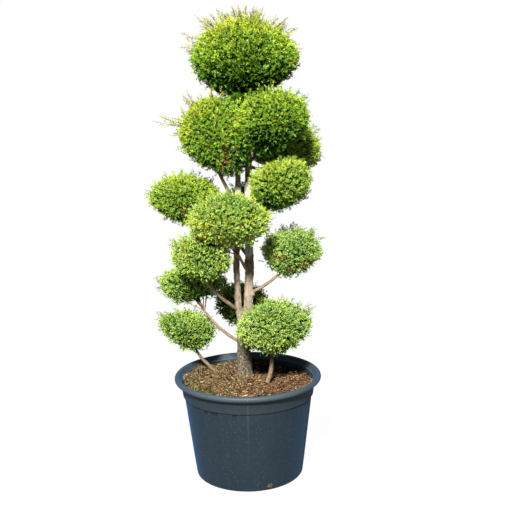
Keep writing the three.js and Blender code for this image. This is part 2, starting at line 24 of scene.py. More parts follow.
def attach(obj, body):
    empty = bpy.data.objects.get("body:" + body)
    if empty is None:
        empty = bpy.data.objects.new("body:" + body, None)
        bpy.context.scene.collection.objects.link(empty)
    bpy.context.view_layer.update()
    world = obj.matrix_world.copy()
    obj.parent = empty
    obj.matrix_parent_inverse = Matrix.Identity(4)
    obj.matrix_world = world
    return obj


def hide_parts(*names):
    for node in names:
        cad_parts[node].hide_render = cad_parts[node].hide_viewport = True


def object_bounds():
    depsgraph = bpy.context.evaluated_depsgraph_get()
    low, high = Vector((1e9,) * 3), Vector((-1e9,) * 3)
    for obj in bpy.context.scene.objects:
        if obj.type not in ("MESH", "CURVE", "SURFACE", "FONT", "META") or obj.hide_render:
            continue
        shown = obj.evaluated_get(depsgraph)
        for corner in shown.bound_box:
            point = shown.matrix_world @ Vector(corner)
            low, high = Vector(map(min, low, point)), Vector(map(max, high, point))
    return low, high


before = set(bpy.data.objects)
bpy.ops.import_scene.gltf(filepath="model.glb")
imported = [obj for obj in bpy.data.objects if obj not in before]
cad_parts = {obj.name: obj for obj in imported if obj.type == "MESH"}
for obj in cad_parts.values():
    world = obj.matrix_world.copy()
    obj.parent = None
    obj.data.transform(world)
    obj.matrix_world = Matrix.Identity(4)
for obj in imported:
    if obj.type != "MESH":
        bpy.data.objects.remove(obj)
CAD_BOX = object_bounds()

Array = np.ndarray
Colour = tuple[float, float, float, float]
Point = tuple[float, float, float]
Profile = tuple[float, float]

MM = 0.001
BOX_ROOM = 8
BODY = "root"
LOG = logging.getLogger("juniper")


def screen(red: int, green: int, blue: int) -> Colour:
    """A colour as the shader wants it.

    Args:
        red: Red on a screen, 0 to 255.
        green: Green on a screen, 0 to 255.
        blue: Blue on a screen, 0 to 255.

    Returns:
        The linear colour with full alpha.
    """
    shares = [value / 255 for value in (red, green, blue)]
    linear = [s / 12.92 if s <= 0.04045 else ((s + 0.055) / 1.055) ** 2.4 for s in shares]
    return (linear[0], linear[1], linear[2], 1.0)


def unit(vectors: Array) -> Array:
    """Vectors at length one."""
    return vectors / np.maximum(np.linalg.norm(vectors, axis=-1, keepdims=True), 1e-9)


class Seeded:
    """The plant's random numbers: the linear congruential generator of the part's source."""

    FACTOR = 1664525
    STEP = 1013904223
    SPAN = 4294967296

    def __init__(self, seed: int) -> None:
        """Starts the row of numbers at a seed."""
        self.state = seed % self.SPAN

    def many(self, *shape: int) -> Array:
        """Numbers from 0 to 1, in an array of a shape."""
        drawn = np.empty(math.prod(shape))
        state = self.state
        for i in range(drawn.size):
            state = (state * self.FACTOR + self.STEP) % self.SPAN
            drawn[i] = state
        self.state = state
        return drawn.reshape(shape) / self.SPAN

    def between(self, low: float, high: float, *shape: int) -> Array:
        """Numbers between two bounds, in an array of a shape."""
        return low + (high - low) * self.many(*shape)

    def one(self, low: float = 0.0, high: float = 1.0) -> float:
        """One number between two bounds."""
        return float(low + (high - low) * self.many(1)[0])

    def directions(self, count: int) -> Array:
        """Unit vectors, even over the sphere."""
        return sphere_directions(self.many(count, 2))


def pointed(bearing: float, rise: float) -> Array:
    """The direction at a bearing and a rise in degrees."""
    turn, lift = math.radians(bearing), math.radians(rise)
    return np.array([math.cos(lift) * math.cos(turn), math.cos(lift) * math.sin(turn), math.sin(lift)])


def sphere_directions(pairs: Array) -> Array:
    """Unit vectors from pairs of numbers between 0 and 1."""
    upright = 2 * pairs[:, 0] - 1
    turn = 2 * np.pi * pairs[:, 1]
    ring = np.sqrt(np.maximum(1 - upright**2, 0))
    return np.stack([ring * np.cos(turn), ring * np.sin(turn), upright], axis=1)


def inside_box(points: Array) -> Array:
    """Points in millimetres, kept within the source's box and a little room around it."""
    low, high = np.array(CAD_BOX) / MM
    return np.clip(points, low - BOX_ROOM, high + BOX_ROOM)


def even_directions(count: int, random: Seeded, scatter: float) -> Array:
    """Unit vectors in a golden spiral over the sphere, each moved a little.

    Args:
        count: How many.
        random: Where the small moves come from.
        scatter: How far each may move.

    Returns:
        An array of count unit vectors.
    """
    golden_turn = np.pi * (3 - math.sqrt(5))
    place = np.arange(count)
    upright = 1 - (2 * place + 1) / count
    ring = np.sqrt(1 - upright**2)
    turn = place * golden_turn
    spots = np.stack([ring * np.cos(turn), ring * np.sin(turn), upright], axis=1)
    return unit(spots + scatter * random.directions(count))


# The plan: the pot, the soil, the leaders, the pompons and the boughs, as in the part's source.
POT_HEIGHT = 430
RIM_RADIUS = 309
ROLL_RADIUS = 11.5
COLLAR_TOP_RADIUS = 283
COLLAR_FOOT_RADIUS = 276
COLLAR_STEP = 6
COLLAR_TOP = POT_HEIGHT - 2 * ROLL_RADIUS
COLLAR_FOOT = COLLAR_TOP - 59
BASE_RADIUS = 227.5
BASE_CORNER = 8
POT_WALL = 5
SOIL_LEVEL = 394
SOIL_SLOPE = 0.03
SOIL_BUMP = 4
SOIL_WAVES = (47, 39, 23, 31)
FOOT_DEPTH = 8

MAIN_LEADER = [
    (-15, 82, SOIL_LEVEL - FOOT_DEPTH, 29.5),
    (-17, 82, 494, 28.5),
    (-13, 81, 593, 27),
    (3, 80, 676, 19),
    (11, 80, 772, 17),
    (17, 80, 930, 16),
    (18, 79, 1169, 14.5),
    (22, 78, 1318, 13),
    (16, 70, 1457, 11.5),
    (11, 62, 1590, 9.5),
]
LEFT_LEADER = [
    (-18, 80, 583, 14.5),
    (-32, 72, 683, 13.5),
    (-37, 58, 852, 12.5),
    (-35, 54, 991, 11.5),
    (-25, 66, 1190, 10.5),
    (-26, 84, 1309, 9),
    (-48, 150, 1375, 7.5),
]

LUMP_COUNT = 5
LUMP_SIZE = 0.035
LUMP_WAVES = (2, 3)
OWN_SPACE = 0.05
OWN_STEP = 0.96
LEAST_REACH = 20
AREA_POWER = 1.6

# What each kind of growth adds to its pompon's seed.
HEART_STREAM = 50
TWIG_STREAM = 100
SHOOT_STREAM = 200
SPRAY_STREAM = 300
TUFT_STREAM = 400


@dataclass(frozen=True)
class PomponPlan:
    """One pompon's place and outline.

    reach is left-right, front-back, up and down; power shapes the top and the underside; hang is how
    far the underside's lowest point lies to the right of the centre and behind it. shoots are
    bearing, rise and length beyond the outline. gold is how yellow the top is: the new growth's colour,
    added to the painted light of the top. lift is painted light over the whole pompon and under painted
    light on its underside, painted shade where it is below nought. sage is the share of pale grey-green
    cords, thin how far its top is drawn in; dapples are painted lit and shaded places with their
    bearing, rise, spread and change of light; forks are bare twigs with their start, end and radius,
    tufts are places of growth off the outline with their radius and painted light, whiskers how many
    more short shoots stand out, and dead lists the bearing, rise and spread of patches of dead sprays.
    """

    name: str
    centre: Point
    reach: tuple[float, float, float, float]
    power: tuple[float, float]
    foot: Point
    seed: int
    tilt: float = 0.0
    hang: tuple[float, float] = (0.0, 0.0)
    shoots: tuple[tuple[float, float, float], ...] = ()
    gold: float = 0.0
    lift: float = 0.0
    under: float = 0.0
    sage: float = 0.2
    thin: float = 0.02
    dapples: tuple[tuple[float, float, float, float], ...] = ()
    tufts: tuple[tuple[Point, float, float], ...] = ()
    forks: tuple[tuple[Point, Point, float], ...] = ()
    whiskers: int = 10
    dead: tuple[tuple[float, float, float], ...] = ()

    @cached_property
    def lumps(self) -> list[tuple[Array, float]]:
        """The pompon's swellings: a few broad waves over its surface, each with its phase."""
        drawn = Seeded(self.seed).many(LUMP_COUNT, 4)
        slow, more = LUMP_WAVES
        waves = sphere_directions(drawn[:, :2]) * (slow + more * drawn[:, 2:3])
        return [(wave, 2 * np.pi * phase) for wave, phase in zip(waves, drawn[:, 3])]

    def leaned(self, directions: Array, way: int) -> Array:
        """Directions turned between the plant's frame and the pompon's own, which leans by its tilt."""
        angle = math.radians(self.tilt) * way
        c, s = math.cos(angle), math.sin(angle)
        x, y, z = directions.T
        return np.stack([x * c - z * s, y, x * s + z * c], axis=1)

    def outline(self, directions: Array) -> Array:
        """How far the pompon's outline lies from its centre in each direction."""
        own = self.leaned(directions, -1)
        across, deep, up, down = self.reach
        top = own[:, 2] > 0
        upright = np.where(top, up, down)
        power = np.where(top, self.power[0], self.power[1])
        below = np.minimum(own[:, 2], 0) / down
        sideways = (own[:, 0] + below * self.hang[0]) / across
        backwards = (own[:, 1] + below * self.hang[1]) / deep
        level = np.hypot(sideways, backwards)
        smooth = (level**power + np.abs(own[:, 2] / upright) ** power) ** (-1 / power)
        lump = sum(np.sin(own @ wave + phase) for wave, phase in self.lumps)
        return smooth * (1 + LUMP_SIZE * lump)

    def fill(self, points: Array) -> Array:
        """0 at the pompon's centre and 1 on its outline."""
        offset = points - np.array(self.centre)
        distance = np.linalg.norm(offset, axis=1)
        return distance / self.outline(unit(offset))

    def owns(self, points: Array, others: Sequence["PomponPlan"]) -> Array:
        """Whether each point is nearer this pompon than any other."""
        mine = self.fill(points) + OWN_SPACE
        free = np.ones(len(points), bool)
        for other in others:
            free &= other.fill(points) > mine
        return free

    def own_reach(self, directions: Array, others: Sequence["PomponPlan"]) -> Array:
        """The outline, drawn in where a neighbour's foliage begins."""
        centre = np.array(self.centre)
        distance = self.outline(directions)
        blocked = np.flatnonzero(~self.owns(centre + directions * distance[:, None], others))
        while blocked.size:
            distance[blocked] *= OWN_STEP
            points = centre + directions[blocked] * distance[blocked][:, None]
            blocked = blocked[~self.owns(points, others) & (distance[blocked] > LEAST_REACH)]
        return distance

    @property
    def area(self) -> float:
        """The outline's surface, in square millimetres."""
        across, deep, up, down = self.reach
        high = (up + down) / 2
        pairs = [(across * deep) ** AREA_POWER, (across * high) ** AREA_POWER, (deep * high) ** AREA_POWER]
        return 4 * math.pi * (sum(pairs) / 3) ** (1 / AREA_POWER)


POMPONS = [
    PomponPlan(
        name="crown", centre=(25, 60, 1740), reach=(218, 205, 150, 177), power=(2.1, 1.6), tilt=-4,
        hang=(-9, 0), foot=(11, 62, 1590), seed=23,
        shoots=(
            (-171, 19, 54), (177, 38, 74), (-164, 39, 42), (161, 47, 61), (180, 58, 57),
            (-161, 72, 42), (118, 70, 54), (0, 89, 49), (-16, 69, 43), (0, 40, 46), (14, 28, 43),
            (-100, 50, 35), (70, 38, 45),
        ),
        lift=-0.05, under=-0.2, sage=0.05, thin=0.11,
        dapples=((-115, -22, 42, 0.08), (-40, -40, 30, -0.06), (-90, 30, 40, -0.04)),
        tufts=(((-8, 14, 1560), 44.0, 0.3), ((-44, 24, 1556), 34.0, 0.36)), gold=0.26, whiskers=90,
    ),
    PomponPlan(
        name="upper_left", centre=(-104, -20, 1435), reach=(130, 135, 156, 195), power=(2.2, 1.9),
        tilt=25, foot=(-104, -4, 1290), seed=29,
        shoots=((180, 12, 105), (165, 58, 61), (-174, -1, 30)), lift=-0.07, under=0.08, sage=0.05,
        thin=0.1, dapples=((-20, 60, 45, -0.2), (-165, -5, 45, 0.08), (-30, -28, 34, -0.32)),
        gold=0.23, whiskers=34, dead=((-62, -28, 14), (-75, -52, 13)),
    ),
    PomponPlan(
        name="upper_right", centre=(124, -100, 1494), reach=(138, 128, 107, 146), power=(2.2, 1.6),
        tilt=-4, hang=(-19, 20), foot=(74, -24, 1398), seed=39, shoots=((-6, 46, 20), (16, 29, 24)),
        lift=0.04, under=-0.19, sage=0.03, thin=0.1,
        dapples=((170, 62, 42, -0.2), (-95, -10, 32, 0.14), (-135, -48, 32, -0.2)), gold=0.06,
        whiskers=26, dead=((-75, -12, 9),),
    ),
    PomponPlan(
        name="upper_right_back", centre=(177, 200, 1370), reach=(160, 116, 127, 103),
        power=(2.4, 2.5), tilt=-3, hang=(11, 0), foot=(140, 158, 1300), seed=45,
        shoots=((-4, 31, 19),), lift=0.16, thin=0.12, dapples=((-48, 8, 62, 0.36),),
    ),
    PomponPlan(
        name="upper_left_back", centre=(-84, 232, 1446), reach=(130, 110, 104, 104), power=(2.2, 1.6),
        hang=(12, -30), foot=(-48, 150, 1375), seed=53, shoots=((120, 50, 30),), gold=0.1,
    ),
    PomponPlan(
        name="middle_left", centre=(-252, 60, 1175), reach=(152, 126, 97, 108), power=(2.0, 1.6),
        tilt=2, hang=(8, 0), foot=(-196, 64, 1094), seed=71, shoots=((18, 62, 32), (180, 12, 15)),
        under=0.16, sage=0.15, thin=0.06, gold=0.12, dead=((-78, -22, 12), (-60, -38, 12)),
    ),
    PomponPlan(
        name="middle_right", centre=(146, -50, 1232), reach=(128, 120, 101, 100), power=(2.6, 2.0),
        tilt=18, hang=(12, 14), foot=(108, -10, 1146), seed=73, shoots=((30, 40, 25),), lift=0.03,
        under=0.1, gold=0.02, dapples=((-110, 8, 32, 0.06), (-130, -36, 40, -0.36)),
        dead=((-80, -42, 9),),
    ),
    PomponPlan(
        name="middle_back", centre=(14, 250, 1120), reach=(108, 96, 84, 84), power=(2.2, 1.6),
        hang=(0, -24), foot=(14, 190, 1052), seed=83,
    ),
    PomponPlan(
        name="front", centre=(-65, -150, 1099), reach=(165, 130, 108, 138), power=(3.0, 1.25),
        tilt=-10, hang=(-34, 30), foot=(-28, -66, 952), seed=103,
        shoots=((-20, 10, 25), (-160, 45, 25)), lift=0.03, under=0.3, sage=0.34, thin=0.1,
        dapples=(
            (-90, 72, 34, -0.2), (-45, 50, 34, -0.24), (-125, 4, 48, 0.1), (-115, -30, 36, -0.08),
            (-42, -22, 26, -0.18),
        ),
        forks=(
            ((-28, -56, 948), (-80, -66, 1000), 3.2), ((-28, -54, 942), (-96, -44, 972), 2.8),
            ((-28, -50, 954), (-38, -56, 1030), 2.4), ((-26, -48, 956), (6, -30, 1020), 3.4),
        ),
        gold=0.17, dead=((-100, -50, 10),),
    ),
    PomponPlan(
        name="low_left", centre=(-178, -80, 946), reach=(125, 110, 89, 94), power=(3.0, 2.0), tilt=-8,
        hang=(4, 10), foot=(-168, -46, 845), seed=111, shoots=((175, 30, 20),), lift=0.08, sage=0.42,
        thin=0.05, dapples=((-135, -5, 52, 0.2), (-72, -18, 30, 0.12), (-50, 50, 36, -0.42)),
        gold=0.05,
    ),
    PomponPlan(
        name="low_left_back", centre=(-228, 100, 801), reach=(144, 110, 60, 88), power=(2.9, 1.3),
        tilt=-8, hang=(-54, 0), foot=(-184, 90, 684), seed=121, shoots=((180, -5, 20),), lift=0.02,
        sage=0.4,
        forks=(
            ((-180, 90, 684), (-158, 104, 800), 3.2), ((-182, 90, 700), (-262, 76, 770), 2.2),
            ((-180, 90, 682), (-285, 54, 744), 2.0),
        ),
        gold=0.05, dead=((-105, -38, 16),),
    ),
    PomponPlan(
        name="right", centre=(200, 60, 942), reach=(128, 116, 96, 117), power=(2.5, 1.5), tilt=-4,
        hang=(-28, 0), foot=(143, 62, 843), seed=127,
        shoots=((127, 54, 24), (75, 75, 26), (-12, 47, 34)), lift=0.09, under=-0.06, sage=0.52,
        thin=0.1, dapples=((-155, 10, 52, 0.28),),
        dead=((-62, -30, 20), (-120, -12, 12), (-95, -42, 12)),
    ),
    PomponPlan(
        name="low_back", centre=(-20, 300, 665), reach=(129, 106, 76, 106), power=(2.8, 1.4),
        tilt=-18, hang=(-8, -30), foot=(-16, 216, 592), seed=137, shoots=((20, 35, 25),),
    ),
    PomponPlan(
        name="foot_left", centre=(-257, 80, 613), reach=(127, 112, 62, 88), power=(2.9, 1.5),
        tilt=-12, hang=(34, 6), foot=(-221, 90, 504), seed=151, shoots=((180, 29, 23), (-90, 77, 29)),
        lift=0.04, under=0.03, sage=0.42, thin=0.06, forks=(((-221, 90, 508), (-258, 90, 536), 2.0),),
        gold=0.02, dead=((-85, -20, 10),),
    ),
    PomponPlan(
        name="foot_right", centre=(121, -80, 658), reach=(154, 138, 102, 128), power=(1.9, 1.4),
        tilt=7, hang=(-19, 20), foot=(101, -42, 505), seed=163,
        shoots=((0, 25, 37), (-23, 55, 25), (170, 30, 20)), under=0.12, lift=0.02, sage=0.5,
        thin=0.06, dapples=((-95, -6, 46, 0.12), (-145, 62, 36, -0.28)),
        forks=(((100, -42, 502), (140, -26, 548), 6.0),), gold=0.04,
    ),
]


@dataclass(frozen=True)
class BoughPlan:
    """A bough's name, where it starts, its two end radii and how far its middle bows.

    leader is main or left with the height on it; without one the bough rises from soil, an x and y.
    """

    name: str
    radii: tuple[float, float]
    bow: Point
    leader: str = ""
    height: float = 0.0
    soil: tuple[float, float] = (0.0, 0.0)

    @property
    def carries(self) -> str:
        """The name of the pompon at its tip."""
        return self.name.removeprefix("bough_").removeprefix("stem_")


BOUGHS = [
    BoughPlan("bough_upper_left", (8.4, 6.2), (6, 4, -12), "left", 1118),
    BoughPlan("bough_upper_right", (7.6, 5.8), (4, 8, -10), "main", 1310),
    BoughPlan("bough_upper_right_back", (7.2, 5.4), (0, 0, -16), "main", 1296),
    BoughPlan("bough_middle_left", (7.6, 5.8), (12, 56, 8), "main", 908),
    BoughPlan("bough_middle_right", (7.4, 5.6), (6, 0, -12), "main", 1060),
    BoughPlan("bough_middle_back", (7, 5.2), (0, 6, -16), "main", 992),
    BoughPlan("bough_front", (7.2, 5.2), (2, -4, -4), "main", 838),
    BoughPlan("bough_low_left", (8, 5.6), (-4, -6, -10), "left", 688),
    BoughPlan("bough_low_left_back", (6.8, 4.8), (0, -4, -21), "main", 538),
    BoughPlan("bough_right", (7.2, 5.4), (2, 0, -8), "main", 756),
    BoughPlan("bough_low_back", (7.2, 5.4), (0, 6, -12), "main", 532),
    BoughPlan("stem_foot_left", (8, 5.8), (-6, 2, -6), soil=(-128, 112)),
    BoughPlan("stem_foot_right", (11.5, 8.5), (8, 0, 4), soil=(77, -28)),
]


def soil_height(x: Array, y: Array) -> Array:
    """The soil's height at places in the pot, before its crumbs."""
    broad, deep, fine, slant = SOIL_WAVES
    bumps = np.sin(x / broad + 1) * np.cos(y / deep) + 0.6 * np.sin(x / fine - y / slant)
    return SOIL_LEVEL - SOIL_SLOPE * x + SOIL_BUMP * bumps


@dataclass(frozen=True)
class Limb:
    """A tapering limb: points along its centreline, and the radius and the curve's own share at each."""

    middle: Array
    radius: Array
    share: Array

    def resampled(self, spacing: float) -> "Limb":
        """The same limb with its points a spacing apart."""
        steps = np.linalg.norm(np.diff(self.middle, axis=0), axis=1)
        run = np.concatenate([[0], np.cumsum(steps)])
        places = np.linspace(0, run[-1], max(3, round(run[-1] / spacing) + 1))
        middle = np.stack([np.interp(places, run, axis) for axis in self.middle.T], axis=1)
        return Limb(middle, np.interp(places, run, self.radius), np.interp(places, run, self.share))

    def at_height(self, height: float) -> Array:
        """The centreline's point at a height."""
        return np.array([np.interp(height, self.middle[:, 2], axis) for axis in self.middle.T])

    @property
    def arriving(self) -> Array:
        """The direction of its tip."""
        return unit(self.middle[-1] - self.middle[-2])


def knotted_limb(knots: Sequence[tuple[float, float, float, float]]) -> Limb:
    """A centripetal Catmull-Rom curve through knots of x, y, z and radius.

    Args:
        knots: The knots from foot to tip.

    Returns:
        The limb, in short steps.
    """
    steps = 40
    rows = np.array(knots, float)
    points = rows[:, :3]
    padded = np.vstack([2 * points[0] - points[1], points, 2 * points[-1] - points[-2]])
    middle, radius = [], []
    last = len(points) - 1
    for i in range(last):
        p0, p1, p2, p3 = padded[i : i + 4]
        d0, d1, d2 = (math.sqrt(np.linalg.norm(b - a)) for a, b in ((p0, p1), (p1, p2), (p2, p3)))
        leave = ((p1 - p0) / d0 - (p2 - p0) / (d0 + d1) + (p2 - p1) / d1) * d1
        arrive = ((p2 - p1) / d1 - (p3 - p1) / (d1 + d2) + (p3 - p2) / d2) * d1
        t = (np.arange(steps + (i == last - 1)) / steps)[:, None]
        cubic = 2 * p1 - 2 * p2 + leave + arrive
        square = -3 * p1 + 3 * p2 - 2 * leave - arrive
        middle.append(p1 + leave * t + square * t**2 + cubic * t**3)
        radius.append(rows[i, 3] + (rows[i + 1, 3] - rows[i, 3]) * t[:, 0])
    share = np.linspace(0, 1, last * steps + 1)
    return Limb(np.vstack(middle), np.concatenate(radius), share)


def bowed_limb(start: Array, end: Array, bow: Array, radii: tuple[float, float], steps: int = 40) -> Limb:
    """A limb from one point to another, bowed in its middle.

    Args:
        start: Where it starts.
        end: Where it ends.
        bow: How far its middle moves off the straight line.
        radii: Its radius at the start and at the end.
        steps: How many steps it is given in.

    Returns:
        The limb.
    """
    control = (start + end) / 2 + 2 * np.array(bow, float)
    t = np.linspace(0, 1, steps + 1)[:, None]
    middle = start * (1 - t) ** 2 + 2 * control * t * (1 - t) + end * t**2
    return Limb(middle, radii[0] + (radii[1] - radii[0]) * t[:, 0], t[:, 0])


class Plant:
    """The plan worked out: the two leaders, the boughs and which limb carries each pompon."""

    SPARSE = 12
    NEAR = 60
    BATCH = 4000

    def __init__(self) -> None:
        """Works the limbs out from the plan."""
        self.leaders = {"main": knotted_limb(MAIN_LEADER), "left": knotted_limb(LEFT_LEADER)}
        pompons = {pompon.name: pompon for pompon in POMPONS}
        self.boughs = {plan.name: self.bough(plan, pompons[plan.carries]) for plan in BOUGHS}
        self.limbs = [*self.leaders.values(), *self.boughs.values()]
        self.carriers = {plan.carries: self.boughs[plan.name] for plan in BOUGHS}
        self.carriers |= {"crown": self.leaders["main"], "upper_left_back": self.leaders["left"]}

    def bough(self, plan: BoughPlan, pompon: PomponPlan) -> Limb:
        """A bough from its leader or the soil to its pompon's foot."""
        if plan.leader:
            start = self.leaders[plan.leader].at_height(plan.height)
        else:
            start = np.array([*plan.soil, float(soil_height(*map(np.float64, plan.soil))) - FOOT_DEPTH])
        return bowed_limb(start, np.array(pompon.foot, float), plan.bow, plan.radii)

    def nearest(self, point: Array) -> Array:
        """The point of the leaders' and boughs' middle lines that is nearest to a given one."""
        middles = np.vstack([limb.middle for limb in self.limbs])
        return middles[np.linalg.norm(middles - point, axis=1).argmin()]

    def clear_of_limbs(self, points: Array, room: float) -> Array:
        """Whether each point is a room away from every limb's surface."""
        free = np.ones(len(points), bool)
        for limb in self.limbs:
            sparse = limb.resampled(self.SPARSE)
            low, high = sparse.middle.min(0) - self.NEAR, sparse.middle.max(0) + self.NEAR
            near = np.flatnonzero(((points > low) & (points < high)).all(1) & free)
            for start in range(0, len(near), self.BATCH):
                some = near[start : start + self.BATCH]
                gap = np.linalg.norm(points[some, None] - sparse.middle[None], axis=2) - sparse.radius
                free[some] &= gap.min(1) > room
        return free


class NodeCanvas:
    """A node tree with short ways to add nodes and to feed their sockets."""

    def __init__(self, tree: NodeTree) -> None:
        """Takes the tree to work on."""
        self.tree = tree

    def feed(self, socket: NodeSocket, value: object) -> None:
        """Links a socket to an output, or sets its plain value."""
        if isinstance(value, NodeSocket):
            self.tree.links.new(value, socket)
        else:
            socket.default_value = value

    def add(self, kind: str, inputs: dict[str | int, object] | None = None, **settings: object) -> Node:
        """Adds a node.

        Args:
            kind: The node's type without its ShaderNode prefix.
            inputs: What feeds its sockets, by name or number.
            **settings: Its own settings.

        Returns:
            The node.
        """
        node = self.tree.nodes.new(f"ShaderNode{kind}")
        for name, value in settings.items():
            setattr(node, name, value)
        for key, value in (inputs or {}).items():
            self.feed(node.inputs[key], value)
        return node

    def group(self, tree: NodeTree, inputs: dict[str, object]) -> Node:
        """Adds a node group and feeds it."""
        node = self.tree.nodes.new("ShaderNodeGroup")
        node.node_tree = tree
        for key, value in inputs.items():
            self.feed(node.inputs[key], value)
        return node

    def mix(self, share: object, first: object, second: object) -> NodeSocket:
        """The output of a colour mix."""
        node = self.tree.nodes.new("ShaderNodeMix")
        node.data_type = "RGBA"
        self.feed(node.inputs[0], share)
        self.feed(node.inputs[6], first)
        self.feed(node.inputs[7], second)
        return node.outputs[2]

    def math(self, operation: str, first: object, second: object = 0.0) -> NodeSocket:
        """The output of a sum on two values, held between 0 and 1."""
        node = self.add("Math", {0: first, 1: second}, operation=operation, use_clamp=True)
        return node.outputs[0]

    def times(self, first: object, second: object) -> NodeSocket:
        """The product of two values, held between 0 and 1."""
        return self.math("MULTIPLY", first, second)

    def ramp(
        self, value: object, start: object, end: object, low: float = 0.0, high: float = 1.0
    ) -> NodeSocket:
        """The output of a change from low to high while a value goes from start to end."""
        span = {"From Min": start, "From Max": end, "To Min": low, "To Max": high}
        return self.add("MapRange", {"Value": value, **span}).outputs[0]

    def mask(self, tree: NodeTree, vector: object, scale: float, low: float, high: float) -> NodeSocket:
        """The output of a noise group that rises from 0 to 1 between two bounds."""
        return self.group(tree, {"Vector": vector, "Scale": scale, "Low": low, "High": high}).outputs[0]

    def specks(self, tree: NodeTree, vector: object, scale: float, size: float) -> NodeSocket:
        """The output of a speck group with specks of a size."""
        return self.group(tree, {"Vector": vector, "Scale": scale, "Size": size}).outputs[0]


class Effects:
    """The node groups that more than one finish uses, each built once."""

    RARE = 0.62

    def __init__(self) -> None:
        """Builds the groups."""
        self.patches = self.noise_group("Patches", stretch=1.0, detail=3.0)
        self.fibres = self.noise_group("Fibres", stretch=0.09, detail=4.0)
        self.flecks = self.noise_group("Flecks", stretch=0.4, detail=3.0)
        self.specks = self.speck_group("Specks")

    def noise_group(self, name: str, stretch: float, detail: float) -> NodeTree:
        """A mask of soft patches, drawn out along Z where the stretch is under one.

        Args:
            name: The group's name.
            stretch: The scale along Z beside the scale across.
            detail: How many finer octaves the noise has.

        Returns:
            The group, with the inputs Vector, Scale, Low and High and the output Mask.
        """
        tree = self.new_group(name, {"Scale": 20.0, "Low": 0.4, "High": 0.6})
        canvas = NodeCanvas(tree)
        source = tree.nodes.new("NodeGroupInput")
        scaled = canvas.add("Mapping", {"Vector": source.outputs["Vector"], "Scale": (1, 1, stretch)})
        settings = {"Vector": scaled.outputs[0], "Scale": source.outputs["Scale"], "Detail": detail}
        texture = canvas.add("TexNoise", settings)
        mask = canvas.ramp(texture.outputs[0], source.outputs["Low"], source.outputs["High"])
        target = tree.nodes.new("NodeGroupOutput")
        canvas.feed(target.inputs["Mask"], mask)
        return tree

    def speck_group(self, name: str) -> NodeTree:
        """A mask of small scattered specks, from the middles of a cell pattern."""
        tree = self.new_group(name, {"Scale": 60.0, "Size": 0.2})
        canvas = NodeCanvas(tree)
        source = tree.nodes.new("NodeGroupInput")
        settings = {"Vector": source.outputs["Vector"], "Scale": source.outputs["Scale"]}
        cells = canvas.add("TexVoronoi", settings)
        mask = canvas.math("LESS_THAN", cells.outputs["Distance"], source.outputs["Size"])
        rare = canvas.math("GREATER_THAN", cells.outputs["Color"], self.RARE)
        both = canvas.times(mask, rare)
        target = tree.nodes.new("NodeGroupOutput")
        canvas.feed(target.inputs["Mask"], both)
        return tree

    @staticmethod
    def new_group(name: str, values: dict[str, float]) -> NodeTree:
        """An empty group with a Vector input, inputs of given values and a Mask output."""
        tree = bpy.data.node_groups.new(name, "ShaderNodeTree")
        tree.interface.new_socket("Vector", in_out="INPUT", socket_type="NodeSocketVector")
        for key, value in values.items():
            socket = tree.interface.new_socket(key, in_out="INPUT", socket_type="NodeSocketFloat")
            socket.default_value = value
        tree.interface.new_socket("Mask", in_out="OUTPUT", socket_type="NodeSocketFloat")
        return tree


def darker(colour: Colour, share: float) -> Colour:
    """A share of a colour."""
    return tuple(share * c for c in colour[:3]) + (1.0,)


def new_material(name: str) -> tuple[Material, NodeCanvas, Node]:
    """A material with its canvas and its Principled shader."""
    material = bpy.data.materials.new(name)
    material.use_nodes = True
    return material, NodeCanvas(material.node_tree), material.node_tree.nodes["Principled BSDF"]


class LeafTone(Enum):
    """The plain colours that a pompon's sprays are dealt, from the sunlit tips to the shaded heart: the
    ladder from GOLD to NIGHT is painted light and painted shade.
    """

    GOLD = screen(202, 190, 62)
    LEMON = screen(188, 188, 50)
    LIME = screen(170, 190, 54)
    SAGE = screen(176, 202, 128)
    FRESH = screen(148, 178, 48)
    GREEN = screen(122, 162, 42)
    MID = screen(94, 138, 26)
    DEEP = screen(58, 104, 18)
    SHADE = screen(28, 62, 13)
    NIGHT = screen(10, 24, 6)
    RUST = screen(132, 88, 50)
    STRAW = screen(166, 136, 84)
    OLIVE = screen(156, 148, 66)
    DULL = screen(122, 156, 88)

    @property
    def slot(self) -> int:
        """Its place among a pompon's material slots."""
        return list(LeafTone).index(self)

    def material(self) -> Material:
        """Its material, made once."""
        name = f"leaf_{self.name.lower()}"
        if name in bpy.data.materials:
            return bpy.data.materials[name]
        material, _, shader = new_material(name)
        shader.inputs["Base Color"].default_value = self.value
        shader.inputs["Roughness"].default_value = 0.6
        # SHADE and NIGHT are the painted-shade tones, and reflect less.
        dim = self in (LeafTone.SHADE, LeafTone.NIGHT)
        shader.inputs["Specular IOR Level"].default_value = 0.04 if dim else 0.2
        return material


